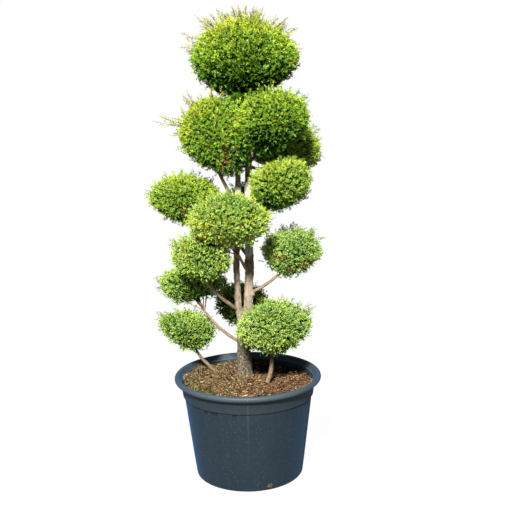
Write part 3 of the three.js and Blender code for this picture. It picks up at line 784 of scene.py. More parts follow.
@dataclass(frozen=True)
class BarkFinish:
    """Peeling bark: pale with brown flecks, grey and flaky at the foot, red and then pale grey higher up.

    The near-black flakes at the foot are partly painted shadow, and the pale grey high up is painted
    light that lifts the shade the pompons cast on the upper trunk.
    """

    name: str
    pale: Colour
    fleck: Colour
    flaky: Colour = screen(134, 128, 110)
    red: Colour = screen(156, 124, 100)
    painted_light_grey: Colour = screen(206, 200, 188)
    fleck_scale: float = 150.0
    foot_top: float = 0.585
    red_from: float = 0.862
    painted_light_from: float = 0.925
    ragged: float = 0.03
    flake_shadow_share: float = 0.85
    fleck_share: float = 0.62
    crack_share: float = 0.5

    def material(self, effects: Effects) -> Material:
        """Builds the finish, which follows the limb by its grain attribute."""
        material, canvas, shader = new_material(self.name)
        grain = canvas.add("Attribute", attribute_name="grain").outputs["Vector"]
        place = canvas.add("TexCoord").outputs["Object"]
        scale = self.fleck_scale
        flecks = canvas.mask(effects.flecks, grain, scale, 0.5, 0.64)
        flakes = canvas.mask(effects.patches, grain, 0.7 * scale, 0.44, 0.56)
        cracks = canvas.mask(effects.fibres, grain, 0.8 * scale, 0.56, 0.68)
        patches = canvas.mask(effects.patches, place, 34.0, 0.3, 0.7)
        height = canvas.add("SeparateXYZ", {0: place}).outputs[2]
        ragged = canvas.math("ADD", height, canvas.times(patches, self.ragged))
        coat = self.pale
        # The last band, high on the trunk, is painted light: a pale grey lifting the pompons' shade.
        for colour, start, end in (
            (self.flaky, self.foot_top + 0.02, self.foot_top),
            (self.red, self.red_from, self.red_from + 0.02),
            (self.painted_light_grey, self.painted_light_from, self.painted_light_from + 0.025),
        ):
            coat = canvas.mix(canvas.ramp(ragged, start, end), coat, colour)
        # Near-black flakes at the foot: partly flaking bark, partly painted shadow.
        low = canvas.ramp(ragged, self.foot_top, self.foot_top - 0.03)
        shaded = darker(self.flaky, 0.14)
        coat = canvas.mix(canvas.times(canvas.times(low, flakes), self.flake_shadow_share), coat, shaded)
        coat = canvas.mix(canvas.times(flecks, self.fleck_share), coat, self.fleck)
        coat = canvas.mix(canvas.times(cracks, self.crack_share), coat, darker(self.fleck, 0.25))
        canvas.feed(shader.inputs["Base Color"], coat)
        shader.inputs["Roughness"].default_value = 0.9
        shader.inputs["Specular IOR Level"].default_value = 0.2
        relief = canvas.math("SUBTRACT", 1.0, canvas.times(canvas.math("ADD", flecks, flakes), 0.5))
        bump = canvas.add("Bump", {"Height": relief, "Strength": 0.7, "Distance": 0.002})
        canvas.feed(shader.inputs["Normal"], bump.outputs[0])
        return material


@dataclass(frozen=True)
class TubFinish:
    """Moulded blue-black plastic: faint mottling, dust specks, a blue sheen towards the edges, and a
    painted shadow under the rolled rim.
    """

    name: str = "tub_plastic"
    base: Colour = screen(70, 99, 124)
    worn: Colour = screen(82, 114, 138)
    dust: Colour = screen(124, 128, 122)
    rim: Colour = screen(46, 55, 58)
    seam: Colour = screen(92, 106, 116)
    collar: Colour = screen(140, 152, 156)
    # deep is the colour of the painted shadow under the rolled rim.
    deep: Colour = screen(8, 11, 13)
    sheen: Colour = screen(0, 108, 176)
    rim_height: float = COLLAR_TOP * MM
    collar_height: float = COLLAR_FOOT * MM
    collar_share: float = 0.25
    rim_share: float = 0.8
    roll_shadow_share: float = 0.85
    seam_share: float = 0.16
    dust_share: float = 0.6

    def material(self, effects: Effects) -> Material:
        """Builds the finish."""
        material, canvas, shader = new_material(self.name)
        place = canvas.add("TexCoord").outputs["Object"]
        clouds = canvas.mask(effects.patches, place, 9.0, 0.35, 0.7)
        runs = canvas.mask(effects.fibres, place, 34.0, 0.45, 0.75)
        specks = canvas.specks(effects.specks, place, 75.0, 0.1)
        grit = canvas.specks(effects.specks, place, 220.0, 0.16)
        worn = canvas.times(canvas.math("ADD", clouds, runs), 0.5)
        plastic = canvas.mix(worn, self.base, self.worn)
        across, _, height = canvas.add("SeparateXYZ", {0: place}).outputs
        risen = canvas.ramp(height, self.rim_height, self.rim_height + 0.004)
        collar = canvas.ramp(height, self.collar_height, self.collar_height + 0.002)
        plastic = canvas.mix(canvas.times(collar, self.collar_share), plastic, self.collar)
        plastic = canvas.mix(canvas.times(risen, self.rim_share), plastic, self.rim)
        # Painted shadow: a near-black band just under the rolled rim.
        under = canvas.math("ABSOLUTE", canvas.math("SUBTRACT", height, self.rim_height - 0.003))
        roll_shadow = canvas.ramp(under, 0.0045, 0.0025, high=self.roll_shadow_share)
        plastic = canvas.mix(roll_shadow, plastic, self.deep)
        line = canvas.ramp(canvas.math("ABSOLUTE", across), 0.0042, 0.001)
        fading = canvas.ramp(height, 0.12, 0.33, high=self.seam_share)
        plastic = canvas.mix(canvas.times(line, fading), plastic, self.seam)
        dusty = canvas.times(canvas.math("ADD", specks, grit), self.dust_share)
        canvas.feed(shader.inputs["Base Color"], canvas.mix(dusty, plastic, self.dust))
        canvas.feed(shader.inputs["Roughness"], canvas.ramp(worn, 0.0, 1.0, 0.5, 0.62))
        shader.inputs["Specular IOR Level"].default_value = 0.36
        shader.inputs["Sheen Weight"].default_value = 0.3
        shader.inputs["Sheen Roughness"].default_value = 0.42
        shader.inputs["Sheen Tint"].default_value = self.sheen
        fine = canvas.mask(effects.patches, place, 420.0, 0.2, 0.8)
        bump = canvas.add("Bump", {"Height": fine, "Strength": 0.25, "Distance": 0.0006})
        canvas.feed(shader.inputs["Normal"], bump.outputs[0])
        return material


@dataclass(frozen=True)
class LitterFinish:
    """Bark chips, straw or crumbs of one colour, with darker stains."""

    name: str
    colour: Colour
    stain: Colour
    scale: float = 160.0

    def material(self, effects: Effects) -> Material:
        """Builds the finish."""
        material, canvas, shader = new_material(self.name)
        place = canvas.add("TexCoord").outputs["Object"]
        stains = canvas.mask(effects.patches, place, self.scale, 0.42, 0.62)
        canvas.feed(shader.inputs["Base Color"], canvas.mix(stains, self.colour, self.stain))
        shader.inputs["Roughness"].default_value = 0.95
        shader.inputs["Specular IOR Level"].default_value = 0.15
        bump = canvas.add("Bump", {"Height": stains, "Strength": 0.5, "Distance": 0.001})
        canvas.feed(shader.inputs["Normal"], bump.outputs[0])
        return material


class JoinedMesh:
    """Many small shapes gathered as arrays and joined into one mesh."""

    def __init__(self) -> None:
        """Starts empty."""
        self.points: list[Array] = []
        self.faces: list[Array] = []
        self.slots: list[Array] = []
        self.count = 0

    def add(self, points: Array, faces: Array, slots: Array | int = 0) -> None:
        """Adds copies of a shape.

        Args:
            points: Each copy's corners, as copies by corners by 3, in millimetres.
            faces: The triangles of one copy.
            slots: The material slot of each face, as copies by faces or as wide as one of them.
        """
        copies, corners, _ = points.shape
        starts = self.count + corners * np.arange(copies)
        self.points.append(points.reshape(-1, 3))
        self.faces.append((starts[:, None, None] + faces[None]).reshape(-1, 3))
        self.slots.append(np.broadcast_to(np.asarray(slots), (copies, len(faces))).ravel())
        self.count += copies * corners

    def build(self, name: str, materials: Sequence[Material], smooth: bool = False) -> Object:
        """The gathered shapes as one object.

        Args:
            name: The object's name.
            materials: Its material slots.
            smooth: Whether its faces are shaded smooth.

        Returns:
            The object, in metres.
        """
        points = np.vstack(self.points) * MM
        faces = np.vstack(self.faces)
        mesh = bpy.data.meshes.new(name)
        mesh.vertices.add(len(points))
        mesh.vertices.foreach_set("co", points.astype(np.float32).ravel())
        mesh.loops.add(faces.size)
        mesh.loops.foreach_set("vertex_index", faces.astype(np.int32).ravel())
        mesh.polygons.add(len(faces))
        mesh.polygons.foreach_set("loop_start", np.arange(0, faces.size, 3, dtype=np.int32))
        mesh.polygons.foreach_set("material_index", np.concatenate(self.slots).astype(np.int32))
        mesh.polygons.foreach_set("use_smooth", np.full(len(faces), smooth))
        for material in materials:
            mesh.materials.append(material)
        mesh.update(calc_edges=True)
        return placed(bpy.data.objects.new(name, mesh))


def placed(thing: Object) -> Object:
    """An object put into the scene's collection."""
    bpy.context.scene.collection.objects.link(thing)
    return thing


def object_of(bm: BMesh, name: str, material: Material) -> Object:
    """A finished bmesh in millimetres as a smooth object in metres."""
    bmesh.ops.scale(bm, vec=(MM, MM, MM), verts=bm.verts)
    mesh = bpy.data.meshes.new(name)
    bm.to_mesh(mesh)
    bm.free()
    mesh.materials.append(material)
    mesh.shade_smooth()
    return placed(bpy.data.objects.new(name, mesh))


def keep(piece: Object, slot: str, *nodes: str) -> None:
    """Settles a piece on the frame and reports it.

    Args:
        piece: The finished piece.
        slot: The name of a material slot in the record; not used.
        *nodes: The frame's nodes that it stands for.
    """
    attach(piece, BODY)
    if nodes:
        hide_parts(*nodes)
    LOG.info("%s: %d faces", piece.name, len(piece.data.polygons))


def frames_along(middle: Array) -> tuple[Array, Array]:
    """The directions of rings along a centreline, carried on from ring to ring without a twist.

    Args:
        middle: The centreline's points.

    Returns:
        The two directions across each ring's axis.
    """
    across = np.array([0.0, 1.0, 0.0])
    sides, others = [], []
    for direction in unit(np.gradient(middle, axis=0)):
        side = unit(np.cross(across, direction))
        across = np.cross(direction, side)
        sides.append(side)
        others.append(across)
    return np.array(sides), np.array(others)


def tube_faces(stations: int, sides: int) -> Array:
    """The triangles of a tube of rings, with its far end closed."""
    faces = []
    for i in range(stations - 1):
        for k in range(sides):
            a, b = i * sides + k, i * sides + (k + 1) % sides
            faces += [(a, b, b + sides), (a, b + sides, a + sides)]
    last = (stations - 1) * sides
    faces += [(last, last + k, last + k + 1) for k in range(1, sides - 1)]
    return np.array(faces)


def tubes(paths: Array, radii: Array, sides: int) -> Array:
    """The corners of many thin tubes.

    Args:
        paths: Each tube's centreline, as tubes by stations by 3.
        radii: Each tube's radius at each station.
        sides: How many sides a tube has.

    Returns:
        The corners, as tubes by corners by 3.
    """
    along = unit(np.gradient(paths, axis=1))
    helper = np.where(np.abs(along[:, :1, 2:3]) > 0.8, [[[1.0, 0.0, 0.0]]], [[[0.0, 0.0, 1.0]]])
    side = unit(np.cross(np.broadcast_to(helper, along.shape), along))
    other = np.cross(along, side)
    turns = 2 * np.pi * np.arange(sides) / sides
    spokes = side[:, :, None] * np.cos(turns)[:, None] + other[:, :, None] * np.sin(turns)[:, None]
    corners = paths[:, :, None] + spokes * radii[:, :, None, None]
    return corners.reshape(len(paths), -1, 3)


def bent_paths(starts: Array, controls: Array, ends: Array, stations: int) -> Array:
    """Curves from starts to ends that lean towards their control points."""
    t = np.linspace(0, 1, stations)[None, :, None]
    return starts[:, None] * (1 - t) ** 2 + 2 * controls[:, None] * t * (1 - t) + ends[:, None] * t**2


@dataclass(frozen=True)
class SprayPattern:
    """A spray of scale-leaf cords about one rib, in shares of the spray's length.

    The rib is two cords, a shaded one below and a bright one at the tip; each cord's tone is painted shade
    near the root and painted light towards the tip.
    """

    side_cords: int = 5
    rib_width: float = 0.11
    cord_length: float = 0.46
    cord_width: float = 0.14
    cord_angle: float = 40.0
    first: float = 0.12
    gap: float = 0.13
    fold: float = 0.5
    twist: float = 1.4
    droop: float = 0.1

    RIB: ClassVar = ((0.0, 0.62), (0.5, 0.5))
    RIB_LIGHT: ClassVar = (-0.22, 0.1)
    CORD_LIGHT: ClassVar = (-0.14, 0.1)
    BELLY: ClassVar = 0.55

    @property
    def faces(self) -> Array:
        """The triangles of the whole spray: two for each cord."""
        kites = np.arange(self.side_cords + len(self.RIB)) * 4
        return np.concatenate([[(k, k + 1, k + 2), (k, k + 2, k + 3)] for k in kites])

    @property
    def brightness(self) -> Array:
        """How much painted light or shade each cord has beside the whole spray."""
        return np.concatenate([self.RIB_LIGHT, np.linspace(*self.CORD_LIGHT, self.side_cords)])

    def corners(self, random: Seeded) -> Array:
        """The corners of one spray, a little different for each call.

        Args:
            random: Where the differences come from.

        Returns:
            Corners as along the rib, sideways and out of the spray's plane.
        """
        kites = [self.kite(start, 0.0, 0.0, length, self.rib_width) for start, length in self.RIB]
        for i in range(self.side_cords):
            start = self.first + self.gap * i + 0.05 * random.one()
            angle = (-1) ** i * math.radians(self.cord_angle * random.one(0.7, 1.25))
            length = self.cord_length * (1 - 0.5 * start) * random.one(0.75, 1.2)
            width = self.cord_width * random.one(0.8, 1.1)
            twist = random.one(-self.twist, self.twist)
            kites.append(self.kite(start, angle, twist, length, width))
        spray = np.vstack(kites)
        spray[:, 2] -= self.droop * spray[:, 0] ** 2 + 0.25 * self.droop * np.abs(spray[:, 1])
        return spray

    def kite(self, along: float, angle: float, twist: float, length: float, width: float) -> Array:
        """One cord: a folded kite from a place on the rib.

        Args:
            along: Where it starts on the rib.
            angle: How far it turns away from the rib.
            twist: How far that turn is rolled out of the spray's plane.
            length: Its length.
            width: Its width.

        Returns:
            Its four corners.
        """
        sideways = np.array([0.0, math.cos(twist), math.sin(twist)])
        rib, out = np.array([1.0, 0.0, 0.0]), np.array([0.0, -math.sin(twist), math.cos(twist)])
        way = math.cos(angle) * rib + math.sin(angle) * sideways
        square = math.cos(angle) * sideways - math.sin(angle) * rib
        root = along * rib
        belly = root + self.BELLY * length * way + self.fold * width / 2 * out
        return np.array([root, belly + square * width / 2, root + length * way, belly - square * width / 2])


class SprayKit:
    """Ready shapes of sprays, laid out at any number of places at once."""

    SHAPES = 6

    def __init__(self, pattern: SprayPattern, seed: int) -> None:
        """Makes the shapes.

        Args:
            pattern: What the sprays look like.
            seed: Where their differences come from.
        """
        random = Seeded(seed)
        self.faces = pattern.faces
        self.brightness = pattern.brightness
        self.shapes = np.array([pattern.corners(random) for _ in range(self.SHAPES)])

    def lay(self, roots: Array, ways: Array, lengths: Array, random: Seeded, face_up: float = 0.0) -> Array:
        """The corners of sprays at given places.

        Args:
            roots: Where each spray starts.
            ways: The direction of each.
            lengths: The length of each.
            random: Where their shapes and turns come from.
            face_up: How strongly their upper faces look up.

        Returns:
            The corners, as sprays by corners by 3.
        """
        count = len(roots)
        chosen = self.shapes[(random.many(count) * self.SHAPES).astype(int)]
        out = unit(random.directions(count) + face_up * np.array([0.0, 0.0, 1.0]))
        side = unit(np.cross(out, ways))
        face = np.cross(ways, side)
        axes = np.stack([ways, side, face], axis=1)
        return roots[:, None] + np.einsum("nci,nij->ncj", chosen * lengths[:, None, None], axes)


@dataclass(frozen=True)
class GrowthRule:
    """How a pompon's growth is shared out, in millimetres and in shares of its outline."""

    spray_area: float = 40.0
    sprays_a_tuft: float = 8.0
    tufts_a_branch: float = 6.0
    branch_share: float = 0.52
    tuft_share: float = 0.83
    inner_share: float = 0.34
    spray_length: tuple[float, float] = (18.0, 30.0)
    heart_share: tuple[float, float] = (0.72, 0.8)
    limb_room: float = 6.0
    root_scatter: float = 5.0
    lean_scatter: float = 0.55
    lean_up: float = 0.3
    tip_share: float = 0.925
    tip_spread: float = 0.055
    crest_rise: float = 0.045
    crest_spread: float = 4.5
    inner_tips: tuple[float, float] = (0.78, 0.9)
    stray_share: float = 0.22
    stray_length: float = 22.0
    stray_gain: float = 110.0
    fork_twigs: int = 3
    fork_reach: float = 0.5
    fork_sides: int = 7
    twig_sides: int = 5
    fine_sides: int = 4
    shoot_root: float = 0.86
    companions: int = 2
    whisker_length: tuple[float, float] = (10.0, 36.0)
    whisker_lift: float = 0.75
    shoot_gap: float = 7.0
    shoot_sprays: tuple[float, float] = (22.0, 11.0)


@dataclass(frozen=True)
class LightRule:
    """How much painted light a spray's tone carries, from 0 in the heart to 1 on a sunlit top.

    A spray starts at middle and gains rise with its height, less fade over fade_from. patch is the
    share of the pompon's swellings and wave how fine they are, tip how much it gains beyond tip_share
    of the outline, gold_from and under_from are the heights where the plan's gold and under set in,
    and inner is what shaded growth loses. spray_spread and cord_spread are left to chance, and top is
    the most that any gains without gold. pale and dull are the light that pale and dull cords have.
    """

    middle: float = 0.525
    rise: float = 0.22
    fade: float = 0.3
    fade_from: float = 0.7
    patch: float = 0.1
    wave: float = 3.1
    tip: float = 1.3
    tip_share: float = 0.96
    spray_spread: float = 0.1
    cord_spread: float = 0.15
    gold_from: float = -0.35
    under_from: float = 0.3
    inner: float = 0.15
    top: float = 0.83
    pale: tuple[float, float] = (0.45, 0.95)
    dull: tuple[float, float] = (0.2, 0.5)
    dull_share: float = 0.1
    dead_share: float = 0.3
    straw_share: float = 0.35
    dry_share: float = 0.08
    dry_below: float = 0.1

    STEPS: ClassVar = (
        (LeafTone.NIGHT, 0.02),
        (LeafTone.SHADE, 0.13),
        (LeafTone.DEEP, 0.26),
        (LeafTone.MID, 0.42),
        (LeafTone.GREEN, 0.56),
        (LeafTone.FRESH, 0.7),
        (LeafTone.LIME, 0.84),
        (LeafTone.LEMON, 0.98),
        (LeafTone.GOLD, 9.0),
    )

    def slots(self, light: Array) -> Array:
        """The material slot for each light."""
        tones = np.array([tone.slot for tone, _ in self.STEPS])
        return tones[np.searchsorted([top for _, top in self.STEPS], light)]


class Pompon:
    """One pompon: its stem and twigs, its heart painted in shade, its sprays and its long shoots."""

    NEIGHBOUR_ROOM = 60
    GOLDEN = 0.2
    TUFT_TONES = 6
    SHOOT_TONES = (LeafTone.FRESH, LeafTone.GREEN, LeafTone.MID, LeafTone.MID)
    GOLDEN_TONES = (LeafTone.OLIVE, LeafTone.LEMON, LeafTone.GREEN, LeafTone.OLIVE)

    def __init__(
        self, plan: PomponPlan, plant: Plant, kits: tuple[SprayKit, SprayKit], rule: GrowthRule
    ) -> None:
        """Takes what the pompon grows from.

        Args:
            plan: Its place and outline.
            plant: The limbs around it.
            kits: The shapes of its outer sprays and of its shaded inner ones.
            rule: How its growth is shared out.
        """
        self.plan, self.plant, self.rule, self.light = plan, plant, rule, LightRule()
        self.kit, self.inner_kit = kits
        self.bough = plant.carriers[plan.name]
        self.centre = np.array(plan.centre, float)
        reach = max(plan.reach)
        self.others = [
            other
            for other in POMPONS
            if other is not plan
            and math.dist(other.centre, plan.centre) < reach + max(other.reach) + self.NEIGHBOUR_ROOM
        ]
        self.leaves, self.twigs = JoinedMesh(), JoinedMesh()

    def build(self, leaf_materials: Sequence[Material], twig_materials: Sequence[Material]) -> None:
        """Grows the pompon and settles its two pieces on the frame.

        Args:
            leaf_materials: The leaves' material slots, one for each tone.
            twig_materials: The finishes of the twigs and of the bare forks.
        """
        self.grow_heart()
        branches = self.grow_branches()
        self.grow_tufts(branches)
        for place, radius, light in self.plan.tufts:
            self.grow_tuft(np.array(place, float), radius, light)
        self.grow_shoots()
        leaves = self.leaves.build(f"leaves_{self.plan.name}", leaf_materials)
        keep(leaves, "foliage", f"pompon_{self.plan.name}")
        twigs = self.twigs.build(f"twigs_{self.plan.name}", twig_materials, smooth=True)
        keep(twigs, "bark")

    def reached(self, directions: Array, share: Array | float) -> Array:
        """Points at a share of the pompon's own reach in each direction."""
        distance = self.plan.own_reach(directions, self.others)
        return self.centre + directions * (distance * share)[:, None]

    def grow_heart(self) -> None:
        """A ball with a rough surface that fills the inside, dealt the SHADE tone: painted shade standing
        for the dense growth within.
        """
        random = Seeded(self.plan.seed + HEART_STREAM)
        bm = bmesh.new()
        bmesh.ops.create_icosphere(bm, subdivisions=4, radius=1.0)
        directions = unit(np.array([vert.co for vert in bm.verts]))
        faces = np.array([[vert.index for vert in face.verts] for face in bm.faces])
        bm.free()
        points = self.reached(directions, random.between(*self.rule.heart_share, len(directions)))
        self.leaves.add(points[None], faces, LeafTone.SHADE.slot)

    def add_limb(self, limb: Limb, slot: int = 0) -> None:
        """Adds a limb to the twigs as one tube, in the finish of a slot."""
        sides = self.rule.fork_sides
        corners = tubes(limb.middle[None], limb.radius[None], sides)
        self.twigs.add(corners, tube_faces(len(limb.radius), sides), slot)

    def add_twigs(self, paths: Array, radii: Array, sides: int) -> None:
        """Adds thin twigs along paths, as tubes of a few sides."""
        self.twigs.add(tubes(paths, radii, sides), tube_faces(paths.shape[1], sides))

    def grow_branches(self) -> Array:
        """The stem from the bough's tip, the twigs of its fork, and the branches on it.

        Returns:
            The branches' tips.
        """
        plan, rule = self.plan, self.rule
        foot = np.array(plan.foot, float)
        arriving, radius = self.bough.arriving, self.bough.radius[-1]
        start, fork = foot - 0.6 * radius * arriving, foot + 0.8 * radius * arriving
        bow = 0.12 * np.linalg.norm(self.centre - foot) * arriving
        stem = bowed_limb(start, self.centre, bow, (0.9 * radius, 0.4 * radius), steps=8)
        self.add_limb(stem)
        for *ends, width in plan.forks:
            twig = bowed_limb(*np.array(ends, float), 2 * arriving, (width, 0.6 * width), steps=8)
            self.add_limb(twig, slot=1)
        random = Seeded(plan.seed + TWIG_STREAM)
        twigs = rule.fork_twigs
        turns = 2 * np.pi * (np.arange(twigs) + 0.6 * random.many(twigs)) / twigs
        across, deep = plan.reach[:2]
        outwards = np.stack([np.cos(turns) * across, np.sin(turns) * deep, 0 * turns], axis=1)
        ends = self.centre + rule.fork_reach * outwards
        count = max(10, round(plan.area / rule.spray_area / rule.sprays_a_tuft / rule.tufts_a_branch))
        directions = even_directions(count, random, 0.3)
        tips = self.reached(directions, rule.branch_share * random.between(0.85, 1.1, count))
        leave = np.clip(0.5 + 0.45 * directions[:, 2] + random.between(-0.15, 0.15, count), 0.05, 0.95)
        roots = stem.middle[np.round(leave * 8).astype(int)]
        all_roots = np.vstack([np.broadcast_to(fork, ends.shape), roots])
        all_tips = np.vstack([ends, tips])
        spans = np.linalg.norm(all_tips - all_roots, axis=1)[:, None]
        controls = (all_roots + all_tips) / 2 + 0.18 * spans * arriving
        paths = bent_paths(all_roots, controls, all_tips, 6)
        thick = np.concatenate([np.full(twigs, 0.5 * radius), np.full(count, 0.34 * radius)])
        self.add_twigs(paths, thick[:, None] * np.linspace(1.0, 0.5, 6), rule.twig_sides)
        return all_tips

    def grow_tufts(self, branches: Array) -> None:
        """The twigs that end in tufts, and the sprays that fan out of each tuft."""
        plan, rule = self.plan, self.rule
        random = Seeded(plan.seed + SPRAY_STREAM)
        count = round(plan.area / rule.spray_area)
        tuft_count = round(count / rule.sprays_a_tuft)
        tuft_ways = even_directions(tuft_count, random, 0.1)
        tuft_ends = self.reached(tuft_ways, rule.tuft_share * random.between(0.94, 1.04, tuft_count))
        branch_ways = unit(branches - self.centre)
        parents = (tuft_ways @ branch_ways.T).argmax(1)
        roots = branches[parents]
        spans = np.linalg.norm(tuft_ends - roots, axis=1)[:, None]
        controls = (roots + tuft_ends) / 2 + 0.12 * spans * branch_ways[parents]
        radii = np.array([1.5, 1.2, 0.9, 0.6]) * (self.bough.radius[-1] / 7)
        paths = bent_paths(roots, controls, tuft_ends, len(radii))
        self.add_twigs(paths, np.broadcast_to(radii, (tuft_count, len(radii))), rule.fine_sides)

        ways = even_directions(count, random, 0.05)
        nearness = ways @ tuft_ways.T
        tufts = nearness.argmax(1)
        inner = random.many(count) < rule.inner_share
        crest = np.clip(1 - (1 - nearness.max(1)) * tuft_count / rule.crest_spread, 0, 1)
        spread = rule.tip_spread
        share = rule.tip_share + rule.crest_rise * crest + random.between(-spread, spread, count)
        share -= plan.thin * np.clip(1.5 * ways[:, 2], 0, 1)
        share[inner] = random.between(*rule.inner_tips, int(inner.sum()))
        tips = self.reached(ways, share)
        stray = (random.many(count) < rule.stray_share) & ~inner
        longest = rule.stray_length + rule.stray_gain * plan.thin * np.clip(ways[stray, 2:], 0, 1)
        tips[stray] += ways[stray] * longest * random.many(int(stray.sum()))[:, None] ** 1.5
        tips = inside_box(tips)
        starts = tuft_ends[tufts] + rule.root_scatter * random.directions(count)
        lean = unit(tips - starts) + rule.lean_scatter * random.directions(count)
        lean = unit(lean + np.array([0.0, 0.0, rule.lean_up]))
        lengths = np.clip(np.linalg.norm(tips - starts, axis=1), *rule.spray_length)
        lengths *= random.between(0.85, 1.15, count)
        roots = tips - lean * lengths[:, None]
        clear = self.plant.clear_of_limbs(tips, rule.limb_room) & self.plant.clear_of_limbs(roots, 1.0)
        for some, kit in ((clear & ~inner, self.kit), (clear & inner, self.inner_kit)):
            corners = kit.lay(roots[some], lean[some], lengths[some], random, face_up=0.4)
            tones = self.tones(ways[some], share[some], inner[some], kit, random)
            self.leaves.add(corners, kit.faces, np.repeat(tones, 2, axis=1))

    def tones(self, ways: Array, share: Array, inner: Array, kit: SprayKit, random: Seeded) -> Array:
        """The tone of each spray, as painted light and shade: yellow on top, fresh at the sides, deep below
        and inside.

        Args:
            ways: The direction of each spray from the centre.
            share: The share of the outline that its tip lies at.
            inner: Whether it belongs to the shaded layer.
            kit: The shapes that the sprays have.
            random: Where the differences come from.

        Returns:
            The material slot of each spray's cords, as sprays by cords.
        """
        plan, rule = self.plan, self.light
        count = len(ways)
        swellings = plan.lumps[:3]
        waves = [np.sin(rule.wave * (ways @ unit(wave)) + phase) for wave, phase in swellings]
        patch = sum(waves) / len(swellings)
        high = ways[:, 2]
        # Painted light and shade: higher sprays and tips lighter; the plan's lift, gold, under and dapples
        # add more.
        light = rule.middle + rule.rise * high - rule.fade * np.clip(high - rule.fade_from, 0, 1)
        light += rule.patch * patch
        light += rule.tip * (share - rule.tip_share)
        light += random.between(-rule.spray_spread, rule.spray_spread, count)
        light += plan.lift + plan.gold * np.clip(high - rule.gold_from, 0, 1)
        light += plan.under * np.clip(rule.under_from - high, 0, 1)
        for bearing, rise, spread, change in plan.dapples:
            edge = math.cos(math.radians(spread))
            light += change * np.clip((ways @ pointed(bearing, rise) - edge) / (1 - edge), 0, 1)
        # Painted shade on the inner layer.
        light[inner] -= rule.inner
        cords = random.between(-rule.cord_spread, rule.cord_spread, count, len(kit.brightness))
        light = np.minimum(light[:, None] + kit.brightness + cords, rule.top + plan.gold)
        slots = rule.slots(light)
        low, most = rule.pale
        pale = (light > low) & (light < most) & (random.many(*light.shape) < plan.sage)
        slots[pale] = LeafTone.SAGE.slot
        low, most = rule.dull
        dull = (light > low) & (light < most) & (random.many(*light.shape) < rule.dull_share + plan.sage)
        slots[dull] = LeafTone.DULL.slot
        for bearing, rise, spread in plan.dead:
            close = ways @ pointed(bearing, rise) > math.cos(math.radians(spread))
            dead = close & (random.many(count) < rule.dead_share)
            slots[dead] = LeafTone.RUST.slot
            slots[dead & (random.many(count) < rule.straw_share)] = LeafTone.STRAW.slot
        dry = inner & (high < rule.dry_below) & (random.many(count) < rule.dry_share)
        slots[dry] = LeafTone.RUST.slot
        return slots

    def grow_tuft(self, place: Array, radius: float, light: float) -> None:
        """A ball of sprays about a place, with a twig to its middle from the nearest limb.

        Args:
            place: The ball's middle.
            radius: How far its sprays reach.
            light: How much painted light they carry.
        """
        random = Seeded(self.plan.seed + TUFT_STREAM)
        count = round(4 * math.pi * radius**2 / self.rule.spray_area * 1.6)
        ways = even_directions(count, random, 0.2)
        lengths = random.between(*self.rule.spray_length, count)
        tips = place + ways * (radius * random.between(0.55, 1.0, count))[:, None]
        lean = unit(ways + 0.5 * random.directions(count))
        corners = self.kit.lay(tips - lean * lengths[:, None], lean, lengths, random, face_up=0.4)
        corners = corners[self.plant.clear_of_limbs(tips, self.rule.limb_room)]
        # Painted light: the tuft's upper sprays are lighter.
        level = light + 0.18 * ways[: len(corners), 2] + random.between(-0.12, 0.12, len(corners))
        level = level[:, None] + self.kit.brightness
        tones = np.array([tone.slot for tone, _ in self.light.STEPS[: self.TUFT_TONES]])
        slots = tones[np.clip(level * len(tones), 0, len(tones) - 1).astype(int)]
        self.leaves.add(corners, self.kit.faces, np.repeat(slots, 2, axis=1))
        nearest = self.plant.nearest(place)
        path = bent_paths(nearest[None], (nearest + place)[None] / 2 + 4.0, place[None], 4)
        self.add_twigs(path, np.array([[2.2, 1.8, 1.4, 1.0]]), self.rule.twig_sides)

    def grow_shoots(self) -> None:
        """The long shoots that the shears missed, each with shorter companions."""
        plan = self.plan
        random = Seeded(plan.seed + SHOOT_STREAM)
        for bearing, rise, beyond in plan.shoots:
            main = pointed(bearing, rise)
            self.grow_shoot(main, beyond, random)
            for _ in range(self.rule.companions):
                way = unit(main + 0.22 * random.directions(1)[0])
                self.grow_shoot(way, beyond * random.one(0.35, 0.75), random)
        for way in unit(random.directions(plan.whiskers) + np.array([0.0, 0.0, self.rule.whisker_lift])):
            self.grow_shoot(way, random.one(*self.rule.whisker_length), random)

    def grow_shoot(self, way: Array, beyond: float, random: Seeded) -> None:
        """One slender shoot with small sprays along it.

        Args:
            way: Its direction from the centre.
            beyond: How far it reaches beyond the outline.
            random: Where its bend and its sprays come from.
        """
        reach = float(self.plan.outline(way[None])[0])
        tip = inside_box(self.centre + way * (reach + beyond))
        if not self.plan.owns(tip[None], self.others)[0]:
            return
        root = self.centre + way * self.rule.shoot_root * reach
        length = np.linalg.norm(tip - root)
        bend = (root + tip) / 2 + 0.17 * length * random.directions(1)[0]
        path = bent_paths(root[None], bend[None], tip[None], 6)
        self.add_twigs(path, np.linspace(0.9, 0.4, 6)[None], self.rule.fine_sides)
        places = np.arange(0.3, 1.0, self.rule.shoot_gap / length)
        spots = np.stack([np.interp(places, np.linspace(0, 1, 6), axis) for axis in path[0].T], axis=1)
        along = unit(tip - bend)
        lean = unit(along + 0.9 * unit(np.cross(random.directions(len(places)), along)))
        lean[-1] = along
        lengths = np.linspace(*self.rule.shoot_sprays, len(places))
        lengths *= random.between(0.7, 1.2, len(places))
        corners = self.kit.lay(spots, lean, lengths, random)
        tones = self.GOLDEN_TONES if self.plan.gold > self.GOLDEN else self.SHOOT_TONES
        slots = np.array([tone.slot for tone in tones])[(random.many(len(places)) * len(tones)).astype(int)]
        self.leaves.add(corners, self.kit.faces, slots[:, None])


@dataclass(frozen=True)
class Relief:
    """How rough a limb's bark is, and how finely: rings a spacing apart, each of so many sides."""

    broad: float
    fibre: float
    spacing: float = 4.0
    sides: int = 44


